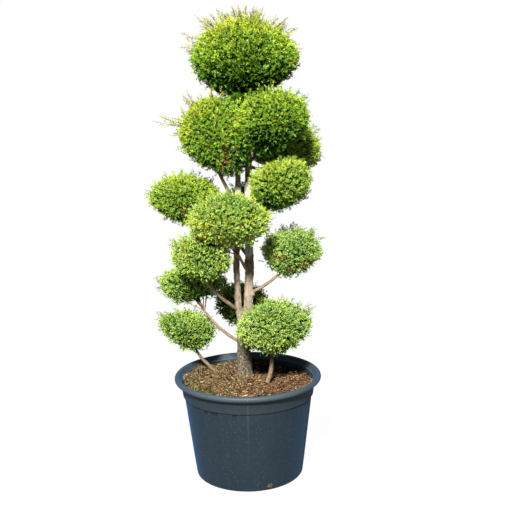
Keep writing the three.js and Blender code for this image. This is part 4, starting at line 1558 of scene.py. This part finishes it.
class BarkedLimb:
    """A limb's bark as a mesh with flutes, swellings, fibres and knots."""

    FLARE_RADIUS = 4
    FLARE_HEIGHT = 26
    FLUTING = 0.07
    FLUTES = 3
    BUTTRESSES = 5
    LUMP_RUN = 42
    PLATE_RUN = 60
    FIBRE_RUN = 30

    def __init__(
        self, limb: Limb, relief: Relief, flared: bool = False, knots: Sequence[Array] = ()
    ) -> None:
        """Takes the limb.

        Args:
            limb: Its centreline and radii.
            relief: How rough it is.
            flared: Whether it spreads at the soil, as the main trunk does.
            knots: Each knot's place and size, as x, y, z and radius.
        """
        self.limb = limb.resampled(relief.spacing)
        self.relief, self.flared, self.knots = relief, flared, knots
        self.frames = frames_along(self.limb.middle)
        steps = np.linalg.norm(np.diff(self.limb.middle, axis=0), axis=1)
        self.run = np.concatenate([[0], np.cumsum(steps)])

    def surface(self, turn: float, place: int) -> tuple[Array, Array]:
        """A point of the bark.

        Args:
            turn: The angle round the limb.
            place: The ring's number.

        Returns:
            The point, and its grain coordinate: round the limb and along it.
        """
        side, across = self.frames
        spoke = side[place] * math.cos(turn) + across[place] * math.sin(turn)
        base = self.limb.radius[place]
        radius = base
        if self.flared:
            risen = self.limb.middle[place, 2] - SOIL_LEVEL
            swelling = self.FLARE_RADIUS * math.exp(-risen / self.FLARE_HEIGHT)
            radius *= 1 + self.FLUTING * math.cos(self.FLUTES * turn + 2 * self.limb.share[place])
            radius += swelling * (1 + 0.5 * math.cos(self.BUTTRESSES * turn))
        c, s, along = math.cos(turn), math.sin(turn), self.run[place]
        broad = noise.noise(Vector((c * 1.3, s * 1.3, along / self.LUMP_RUN)))
        plate = abs(noise.noise(Vector((c * 3.2 + 7, s * 3.2, along / self.PLATE_RUN))))
        fibre = noise.noise(Vector((c * base / 3.2, s * base / 3.2, along / self.FIBRE_RUN)))
        radius += self.relief.broad * broad + self.relief.fibre * (fibre + 1.6 * (0.3 - plate))
        point = self.limb.middle[place] + spoke * radius
        for knot in self.knots:
            reach = np.linalg.norm(point - knot[:3]) / knot[3]
            point = point + spoke * 0.45 * knot[3] * math.exp(-(reach**2) * 2.2)
        return point, np.array([c * base, s * base, along])

    def build(self, name: str, material: Material) -> Object:
        """The bark as an object."""
        sides, rings = self.relief.sides, len(self.run)
        bm = bmesh.new()
        bmesh.ops.create_grid(bm, x_segments=sides, y_segments=rings - 1, size=0.5)
        grain = bm.verts.layers.float_vector.new("grain")
        for vert in bm.verts:
            place = round((vert.co.y + 0.5) * (rings - 1))
            turn = 2 * math.pi * (round((vert.co.x + 0.5) * sides) % sides) / sides
            point, coordinate = self.surface(turn, place)
            vert.co = point
            vert[grain] = Vector(coordinate * MM)
        bmesh.ops.remove_doubles(bm, verts=bm.verts, dist=0.001)
        bmesh.ops.holes_fill(bm, edges=[edge for edge in bm.edges if edge.is_boundary], sides=0)
        bmesh.ops.recalc_face_normals(bm, faces=bm.faces)
        return object_of(bm, name, material)


class Bark:
    """All the bark: the two leaders, the boughs and the shreds that peel off them."""

    MAIN_KNOTS = (
        (12, 62, 878, 26),
        (27, 66, 838, 18),
        (2, 66, 940, 15),
        (24, 70, 756, 17),
        (-24, 66, 560, 22),
    )
    LEFT_KNOTS = ((-44, 44, 905, 12), (-30, 44, 700, 15))
    SHREDS = {"trunk_main": 330, "trunk_left": 150}
    SLIM = {"stem_foot_right": 0.88}

    def __init__(self, plant: Plant) -> None:
        """Takes the plant's limbs."""
        self.plant = plant

    def build(self, trunk: Material, bough: Material) -> None:
        """Builds every limb's bark and settles it on the frame.

        Args:
            trunk: The leaders' finish.
            bough: The boughs' finish.
        """
        leaders = self.plant.leaders
        main_knots, left_knots = np.array(self.MAIN_KNOTS, float), np.array(self.LEFT_KNOTS, float)
        main = BarkedLimb(leaders["main"], Relief(broad=2.2, fibre=1.5), flared=True, knots=main_knots)
        left = BarkedLimb(leaders["left"], Relief(broad=1.5, fibre=1.1, sides=32), knots=left_knots)
        for name, limb in (("trunk_main", main), ("trunk_left", left)):
            keep(limb.build(f"bark_{name}", trunk), "bark", name)
        for name, limb in self.plant.boughs.items():
            slimmed = Limb(limb.middle, self.SLIM.get(name, 1.0) * limb.radius, limb.share)
            barked = BarkedLimb(slimmed, Relief(broad=1.4, fibre=0.8, spacing=5.0, sides=20))
            keep(barked.build(f"bark_{name}", bough), "bark", name)
        shreds = JoinedMesh()
        for seed, (name, limb) in enumerate((("trunk_main", main), ("trunk_left", left))):
            self.peel(limb, self.SHREDS[name], Seeded(500 + seed), shreds)
        keep(shreds.build("bark_shreds", [trunk], smooth=True), "bark")

    def peel(self, barked: BarkedLimb, count: int, random: Seeded, shreds: JoinedMesh) -> None:
        """Thin shreds of bark that lie along a leader and lift at one end.

        Args:
            barked: The leader.
            count: How many shreds.
            random: Where they come from.
            shreds: Where they are gathered.
        """
        rings = len(barked.run)
        stations = 5
        for _ in range(count):
            length = int(random.one(4, 11))
            place = int(random.one() * (rings - length - 2)) + 1
            turn = 2 * math.pi * random.one()
            drift = random.one(-0.12, 0.12)
            lift = random.one(0.4, 3.2)
            way = 1 if random.one() < 0.7 else -1
            path = []
            for i in range(stations):
                share = i / (stations - 1)
                ring = place + round(length * share)
                point, _ = barked.surface(turn + drift * i, ring)
                spoke = unit(point - barked.limb.middle[ring])
                raised = share if way > 0 else 1 - share
                path.append(point + spoke * (lift * raised**2 + 0.1))
            widths = np.array([0.5, 1.3, 1.5, 1.2, 0.4]) * random.one(0.6, 1.3)
            shreds.add(tubes(np.array(path)[None], widths[None], 4), tube_faces(stations, 4))


@dataclass(frozen=True)
class Tub:
    """The nursery tub: a turned wall with a collar under a rolled rim, slots, drain holes and mould seams.

    slots are bearing and width, in degrees and millimetres.
    """

    segments: int = 144
    slots: tuple[tuple[float, float], ...] = ((-38.5, 18), (-29.5, 33), (-11.5, 19))
    slot_height: float = 12.0
    slot_depth: float = 3.2
    drain_radius: float = 6.0
    plug_radius: float = 15.3
    plug_seed: int = 5
    drain_height: float = 24.0
    drains: int = 4
    first_drain: float = -69.0
    seams: tuple[float, ...] = (-91.0, 89.0)
    seam_foot: float = 20.0
    seam_reach: float = 1.3
    seam_rise: float = 0.7

    @staticmethod
    def arc(middle: Profile, size: float, start: float, end: float, steps: int) -> list[Profile]:
        """Points of an arc, as radius and height, from one angle to another in degrees."""
        angles = [math.radians(start + (end - start) * i / steps) for i in range(steps + 1)]
        return [(middle[0] + size * math.cos(a), middle[1] + size * math.sin(a)) for a in angles]

    @staticmethod
    def inside(hair: float = 0.0) -> list[Profile]:
        """The tub's inside from its floor to its collar, drawn in by a hair for what fills it."""
        inset = POT_WALL + hair
        return [
            (0, inset),
            (BASE_RADIUS - BASE_CORNER - hair, inset),
            (BASE_RADIUS - inset, BASE_CORNER + inset),
            (COLLAR_FOOT_RADIUS - COLLAR_STEP - inset, COLLAR_FOOT + hair),
            (COLLAR_FOOT_RADIUS - inset, COLLAR_FOOT + COLLAR_STEP + hair),
        ]

    def profile(self) -> list[Profile]:
        """The wall's outline from the middle of the underside, over the rim and down inside."""
        wall_top = COLLAR_FOOT_RADIUS - COLLAR_STEP
        corner = (BASE_RADIUS - BASE_CORNER, BASE_CORNER)
        roll = (RIM_RADIUS - ROLL_RADIUS, POT_HEIGHT - ROLL_RADIUS)
        return [
            (0, 0),
            (BASE_RADIUS - BASE_CORNER - 30, 0),
            *self.arc(corner, BASE_CORNER, -90, -4, 6),
            (BASE_RADIUS + 0.2 * (wall_top - BASE_RADIUS), 0.2 * COLLAR_FOOT),
            (BASE_RADIUS + 0.6 * (wall_top - BASE_RADIUS), 0.6 * COLLAR_FOOT),
            (wall_top, COLLAR_FOOT),
            (COLLAR_FOOT_RADIUS - 0.8, COLLAR_FOOT + 0.4),
            (COLLAR_FOOT_RADIUS, COLLAR_FOOT + 1.4),
            (COLLAR_FOOT_RADIUS + 0.5, COLLAR_FOOT + COLLAR_STEP),
            (COLLAR_TOP_RADIUS, COLLAR_TOP - 2),
            (COLLAR_TOP_RADIUS + 2, COLLAR_TOP + 0.4),
            *self.arc(roll, ROLL_RADIUS, -88, 172, 16),
            (COLLAR_TOP_RADIUS - POT_WALL + 4, COLLAR_TOP + 8),
            (COLLAR_TOP_RADIUS - POT_WALL, COLLAR_TOP),
            *reversed(self.inside()),
        ]

    def build(self, material: Material) -> None:
        """Turns the wall, cuts its openings and settles it on the frame."""
        bm = bmesh.new()
        verts = [bm.verts.new((radius, 0, height)) for radius, height in self.profile()]
        edges = [bm.edges.new(pair) for pair in zip(verts, verts[1:])]
        turn = {"cent": (0, 0, 0), "axis": (0, 0, 1), "angle": 2 * math.pi, "steps": self.segments}
        bmesh.ops.spin(bm, geom=[*verts, *edges], use_merge=True, **turn)
        bmesh.ops.remove_doubles(bm, verts=bm.verts, dist=0.01)
        self.raise_seams(bm)
        bmesh.ops.recalc_face_normals(bm, faces=bm.faces)
        tub = object_of(bm, "tub", material)
        self.cut(tub)
        tub.data.shade_smooth()
        tub.data.set_sharp_from_angle(angle=math.radians(38))
        keep(tub, "pot", "pot")

    def build_plug(self, material: Material) -> None:
        """The soil that plugs the front drain hole."""
        bm = bmesh.new()
        turn = Matrix.Rotation(math.radians(self.first_drain), 4, "Z")
        place = Matrix.Translation((BASE_RADIUS - 0.5, 0, self.drain_height))
        place = turn @ place @ Matrix.Diagonal((0.24, 1.0, 0.9, 1))
        bmesh.ops.create_icosphere(bm, subdivisions=4, radius=self.plug_radius, matrix=place)
        noise.seed_set(self.plug_seed)
        for vert in bm.verts:
            vert.co += 1.8 * noise.noise_vector(vert.co / 5)
        keep(object_of(bm, "drain_plug", material), "mulch")

    def raise_seams(self, bm: BMesh) -> None:
        """Lifts the wall a little along the two mould seams."""
        for vert in bm.verts:
            bearing = math.degrees(math.atan2(vert.co.y, vert.co.x))
            away = min(abs((bearing - seam + 180) % 360 - 180) for seam in self.seams)
            level, risen = math.hypot(vert.co.x, vert.co.y), vert.co.z - self.seam_foot
            outer = 0 < risen < COLLAR_TOP - self.seam_foot - 4 and level > BASE_RADIUS + 0.1 * risen
            if away < self.seam_reach and outer:
                vert.co.xy *= 1 + self.seam_rise / level

    def cut(self, tub: Object) -> None:
        """Cuts the drain holes and the slots under the collar; their cut faces take a near-black finish,
        painted shade.
        """
        bm = bmesh.new()
        for i in range(self.drains):
            bearing = math.radians(self.first_drain + 360 * i / self.drains)
            place = Matrix.Translation((BASE_RADIUS, 0, self.drain_height))
            place = Matrix.Rotation(bearing, 4, "Z") @ place @ Matrix.Rotation(math.pi / 2, 4, "Y")
            radii = {"radius1": self.drain_radius, "radius2": self.drain_radius}
            bmesh.ops.create_cone(bm, cap_ends=True, segments=20, depth=6 * POT_WALL, matrix=place, **radii)
        wall = COLLAR_FOOT_RADIUS - COLLAR_STEP
        for bearing, width in self.slots:
            turn = Matrix.Rotation(math.radians(bearing - 90), 4, "Z")
            size = Matrix.Diagonal((2 * self.slot_depth, width, self.slot_height, 1))
            place = Matrix.Translation((wall, 0, COLLAR_FOOT - 0.75 * self.slot_height))
            bmesh.ops.create_cube(bm, size=1.0, matrix=turn @ place @ size)
        # Painted shade: a near-black finish for the faces inside the openings.
        recess_shade, _, shader = new_material("tub_recess_painted_shade")
        shader.inputs["Base Color"].default_value = screen(9, 12, 15)
        shader.inputs["Roughness"].default_value = 0.8
        cutter = object_of(bm, "tub_cutter", recess_shade)
        modifier = tub.modifiers.new("openings", "BOOLEAN")
        modifier.operation, modifier.object, modifier.solver = "DIFFERENCE", cutter, "EXACT"
        modifier.material_mode = "TRANSFER"
        graph = bpy.context.evaluated_depsgraph_get()
        mesh = bpy.data.meshes.new_from_object(tub.evaluated_get(graph))
        tub.modifiers.clear()
        tub.data = mesh
        bpy.data.objects.remove(cutter)


@dataclass(frozen=True)
class MulchBed:
    """The soil's crumbly top, its bark chips, straws and clods, and patches of moss.

    MOSS_SPOTS are x, y and spread, HEAPS x, y, width and height, and KINDS each kind's count, its
    ranges of length, width and depth, and how far it tilts. Beyond a given x and y, behind the trunk,
    most of the litter is dealt the dark tone as a painted shadow.
    """

    radius: float = 275.0
    bearings: int = 200
    rings: int = 64
    moss_tufts: int = 1500

    MOSS_SPOTS: ClassVar = ((-173, -158, 40), (-215, -95, 26), (142, -185, 22))
    HEAPS: ClassVar = ((-255, -30, 85, 12), (-205, 128, 55, 13), (-40, -215, 90, 5))
    KINDS: ClassVar = (
        (240, (12.0, 32.0), (6.0, 13.0), (2.5, 6.0), 0.7),
        (3500, (5.0, 22.0), (2.2, 6.5), (0.8, 2.4), 0.5),
        (2600, (12.0, 38.0), (0.8, 1.9), (0.5, 0.9), 0.3),
    )
    TONE_SHARES: ClassVar = (0.24, 0.48, 0.68, 0.86, 0.93)
    SHADOW_PLACE: ClassVar = (-25, 92)
    SHADOW_SHARE: ClassVar = 0.85
    DARK_SLOT: ClassVar = 2
    GREEN_SLOT: ClassVar = 6

    def top(self, x: float, y: float) -> float:
        """The soil's height with its crumbs."""
        ground = float(soil_height(np.float64(x), np.float64(y)))
        clods = noise.noise(Vector((x / 26, y / 26, 3))) * 5.5
        crumbs = clods + noise.noise(Vector((x / 8, y / 8, 9))) * 3.4
        heaped = 0.0
        for a, b, wide, high in self.HEAPS:
            heaped += high * math.exp(-(((x - a) / wide) ** 2) - ((y - b) / wide) ** 2)
        return ground + crumbs + heaped

    def build_bed(self, material: Material) -> None:
        """The filling of the tub, from its floor up to the crumbly top."""
        bottom = Tub.inside(hair=0.3)
        rows = len(bottom) + self.rings
        bm = bmesh.new()
        bmesh.ops.create_grid(bm, x_segments=self.bearings, y_segments=rows - 1, size=0.5)
        for vert in bm.verts:
            turn = 2 * math.pi * (round((vert.co.x + 0.5) * self.bearings) % self.bearings) / self.bearings
            row = round((vert.co.y + 0.5) * (rows - 1))
            if row < len(bottom):
                level, height = bottom[row]
                vert.co = (level * math.cos(turn), level * math.sin(turn), height)
            else:
                share = 1 - (row - len(bottom)) / (self.rings - 1)
                x, y = (self.radius * share * way for way in (math.cos(turn), math.sin(turn)))
                vert.co = (x, y, self.top(x, y))
        bmesh.ops.remove_doubles(bm, verts=bm.verts, dist=0.02)
        bmesh.ops.recalc_face_normals(bm, faces=bm.faces)
        keep(object_of(bm, "mulch_bed", material), "mulch", "soil")

    def spots(self, count: int, random: Seeded, within: float = 0.985) -> Array:
        """Places on the soil, even over its disc."""
        level = self.radius * within * np.sqrt(random.many(count))
        turn = 2 * np.pi * random.many(count)
        x, y = level * np.cos(turn), level * np.sin(turn)
        z = np.array([self.top(a, b) for a, b in zip(x, y)])
        return np.stack([x, y, z], axis=1)

    def build_litter(self, materials: Sequence[Material]) -> None:
        """Chips and straws, strewn and tilted over the bed."""
        random = Seeded(900)
        litter = JoinedMesh()
        spans, sides = ((0, 4), (4, 8)), [(a, (a + 1) % 4) for a in range(4)]
        faces = [(0, 1, 2), (0, 2, 3)]
        faces += [(near + a, far + a, far + b) for near, far in spans for a, b in sides]
        faces += [(near + a, far + b, near + b) for near, far in spans for a, b in sides]
        faces += [(8, 10, 9), (8, 11, 10)]
        square = np.array([(-1, -1), (1, -1), (1, 1), (-1, 1)]) / 2
        for count, lengths, widths, depths, tilt in self.KINDS:
            spots = self.spots(count, random)
            spots[:, 2] += random.between(0.2, 4.5, count)
            turn = 2 * np.pi * random.many(count)
            up = unit(np.array([0.0, 0.0, 1.0]) + tilt * random.directions(count))
            way = unit(np.cross(up, np.stack([np.cos(turn), np.sin(turn), 0 * turn], axis=1)))
            side = np.cross(up, way)
            length = lengths[0] + (lengths[1] - lengths[0]) * random.many(count) ** 2
            width = random.between(*widths, count)
            depth = random.between(*depths, count)
            bend = random.between(-0.12, 0.18, count) * length
            corners = []
            for station, narrow in ((-0.5, 0.55), (0.0, 1.0), (0.5, 0.5)):
                raised = bend * (0.25 - station**2) * 4
                middle = spots + way * (station * length)[:, None] + up * raised[:, None]
                for sideways, high in square:
                    across = side * (sideways * width * narrow)[:, None]
                    corners.append(middle + across + up * (high * depth)[:, None])
            slots = np.searchsorted(self.TONE_SHARES, random.many(count))
            drift = np.array([noise.noise(Vector((x / 48, y / 48, 21))) for x, y, _ in spots])
            green = random.many(count) < np.clip(0.16 - spots[:, 0] / 520 + 0.55 * drift, 0.02, 0.5)
            slots[green] = self.GREEN_SLOT
            # Painted shadow: most litter behind the trunk, beyond the given x and y, gets the dark tone.
            shadowed = (spots[:, 0] > self.SHADOW_PLACE[0]) & (spots[:, 1] > self.SHADOW_PLACE[1] + 20 * drift)
            slots[shadowed & (random.many(count) < self.SHADOW_SHARE)] = self.DARK_SLOT
            litter.add(np.stack(corners, axis=1), np.array(faces), slots[:, None])
        keep(litter.build("mulch_litter", materials), "mulch")

    def build_moss(self, kit: SprayKit, material: Material) -> None:
        """Short green tufts in a few patches."""
        random = Seeded(950)
        moss = JoinedMesh()
        whole = sum(spread for _, _, spread in self.MOSS_SPOTS)
        for x, y, spread in self.MOSS_SPOTS:
            count = round(self.moss_tufts * spread / whole)
            level = spread * random.many(count) ** 0.7
            turn = 2 * np.pi * random.many(count)
            spots = np.stack([x + level * np.cos(turn), y + level * np.sin(turn), 0 * turn], axis=1)
            spots = spots[np.hypot(spots[:, 0], spots[:, 1]) < self.radius - 4]
            spots[:, 2] = [self.top(a, b) for a, b, _ in spots]
            ways = unit(np.array([0.0, 0.0, 1.0]) + 0.8 * random.directions(len(spots)))
            lengths = random.between(4.0, 9.0, len(spots))
            moss.add(kit.lay(spots, ways, lengths, random), kit.faces)
        keep(moss.build("moss", [material]), "mulch")


@dataclass(frozen=True)
class Studio:
    """The floor, the light and the camera."""

    camera_place: Point = (0.045, -3.25, 1.51)
    pitch: float = 10.1
    roll: float = 1.2
    lens: float = 56.25
    floor_size: float = 60.0
    floor_glow: tuple[float, float] = (0.98, 1.0)
    floor_bounce: Colour = (0.2, 0.2, 0.19, 1.0)
    floor_shown: Colour = (0.8, 0.8, 0.8, 1.0)
    key_place: Point = (-0.86, -6.1, 5.4)
    key_size: float = 1.0
    key_power: float = 1500.0
    key_tint: tuple[float, float, float] = (1.0, 0.97, 0.9)
    key_aim: float = 1.05
    sky: float = 0.22
    sky_tint: Colour = (0.74, 0.88, 1.0, 1.0)

    def build(self) -> None:
        """Builds the studio."""
        self.build_camera()
        self.build_floor()
        self.build_world()
        self.build_key()

    def build_camera(self) -> None:
        """The camera at the photograph's viewing angle."""
        pitch, roll = math.radians(self.pitch), math.radians(self.roll)
        forward = Vector((0, math.cos(pitch), -math.sin(pitch)))
        level, upright = Vector((1, 0, 0)), Vector((0, math.sin(pitch), math.cos(pitch)))
        right = level * math.cos(roll) - upright * math.sin(roll)
        up = level * math.sin(roll) + upright * math.cos(roll)
        camera = placed(bpy.data.objects.new("camera", bpy.data.cameras.new("camera")))
        camera.data.lens = self.lens
        turn = Matrix((right, up, -forward)).transposed().to_4x4()
        camera.matrix_world = Matrix.Translation(self.camera_place) @ turn
        bpy.context.scene.camera = camera

    def build_floor(self) -> None:
        """A plain pale floor."""
        bm = bmesh.new()
        bmesh.ops.create_grid(bm, x_segments=1, y_segments=1, size=self.floor_size / MM / 2)
        material, canvas, shader = new_material("floor_pale")
        shader.inputs["Roughness"].default_value = 0.9
        path = canvas.add("LightPath")
        seen = path.outputs["Is Camera Ray"]
        canvas.feed(shader.inputs["Base Color"], canvas.mix(seen, self.floor_bounce, self.floor_shown))
        glow = canvas.add("Emission", {"Color": (1.0, 1.0, 1.0, 1.0)})
        place = canvas.add("TexCoord").outputs["Object"]
        away = canvas.add("VectorMath", {0: place}, operation="LENGTH").outputs["Value"]
        white = canvas.ramp(away, 0.3, 2.4, *self.floor_glow)
        share = canvas.times(seen, white)
        both = canvas.add("MixShader", {0: share, 1: shader.outputs[0], 2: glow.outputs[0]})
        canvas.feed(material.node_tree.nodes["Material Output"].inputs["Surface"], both.outputs[0])
        floor = object_of(bm, "floor", material)

    def build_world(self) -> None:
        """A white surround that lights less than it shows."""
        world = bpy.data.worlds.new("studio")
        world.use_nodes = True
        canvas = NodeCanvas(world.node_tree)
        seen = world.node_tree.nodes["Background"]
        seen.inputs["Color"].default_value = (1, 1, 1, 1)
        seen.inputs["Strength"].default_value = 1.0
        lit = canvas.add("Background", {"Color": self.sky_tint, "Strength": self.sky})
        path = canvas.add("LightPath")
        seen_directly = path.outputs["Is Camera Ray"]
        both = canvas.add("MixShader", {0: seen_directly, 1: lit.outputs[0], 2: seen.outputs[0]})
        output = world.node_tree.nodes["World Output"]
        canvas.feed(output.inputs["Surface"], both.outputs[0])
        bpy.context.scene.world = world
        bpy.context.scene.view_settings.view_transform = "Standard"

    def build_key(self) -> None:
        """The key light, from the upper left in front."""
        lamp = bpy.data.lights.new("key", "AREA")
        lamp.shape, lamp.size, lamp.energy = "DISK", self.key_size, self.key_power
        lamp.color = self.key_tint
        key = placed(bpy.data.objects.new("key", lamp))
        aim = Vector((0, 0, self.key_aim)) - Vector(self.key_place)
        key.location = self.key_place
        key.rotation_mode = "QUATERNION"
        key.rotation_quaternion = aim.to_track_quat("-Z", "Y")


def main() -> None:
    """Builds every piece in order."""
    logging.basicConfig(level=logging.INFO, format="%(message)s")
    Studio().build()
    effects = Effects()
    tub = Tub()
    tub.build(TubFinish().material(effects))
    plug = LitterFinish("plug_soil", screen(112, 100, 70), screen(50, 44, 34), scale=240.0)
    tub.build_plug(plug.material(effects))

    soil = LitterFinish("soil", screen(76, 56, 40), screen(36, 26, 19), scale=60.0).material(effects)
    litter = [
        LitterFinish("litter_tan", screen(166, 134, 98), screen(112, 84, 58)),
        LitterFinish("litter_brown", screen(120, 92, 66), screen(76, 56, 40)),
        LitterFinish("litter_dark", screen(62, 45, 34), screen(34, 25, 20)),
        LitterFinish("litter_red", screen(134, 90, 62), screen(86, 56, 40)),
        LitterFinish("litter_straw", screen(192, 166, 124), screen(142, 116, 80)),
        LitterFinish("litter_grey", screen(122, 110, 92), screen(80, 72, 60)),
        LitterFinish("litter_green", screen(142, 132, 90), screen(92, 84, 56)),
    ]
    moss = LitterFinish("moss", screen(86, 104, 38), screen(48, 66, 24)).material(effects)
    bed = MulchBed()
    bed.build_bed(soil)
    bed.build_litter([finish.material(effects) for finish in litter])
    kit = SprayKit(SprayPattern(), seed=7)
    bed.build_moss(kit, moss)

    plant = Plant()
    trunk = BarkFinish("bark_trunk", screen(165, 152, 135), screen(110, 86, 68))
    plain = {"foot_top": 0.0, "red_from": 1.0, "painted_light_from": 1.1}
    bough = BarkFinish("bark_bough", screen(150, 130, 108), screen(90, 72, 56), **plain)
    twig = LitterFinish("twig_bark", screen(118, 88, 60), screen(74, 54, 38), scale=90.0)
    Bark(plant).build(trunk.material(effects), bough.material(effects))
    leaf_materials = [tone.material() for tone in LeafTone]
    fork = LitterFinish("fork_bark", screen(176, 152, 128), screen(104, 88, 74), scale=110.0)
    twig_materials = [twig.material(effects), fork.material(effects)]
    inner = SprayPattern(side_cords=2, cord_length=0.62, cord_width=0.2, rib_width=0.18, first=0.2, gap=0.2)
    kits = (kit, SprayKit(inner, seed=8))
    for plan in POMPONS:
        Pompon(plan, plant, kits, GrowthRule()).build(leaf_materials, twig_materials)

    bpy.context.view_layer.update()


if __name__ == "__main__":
    main()
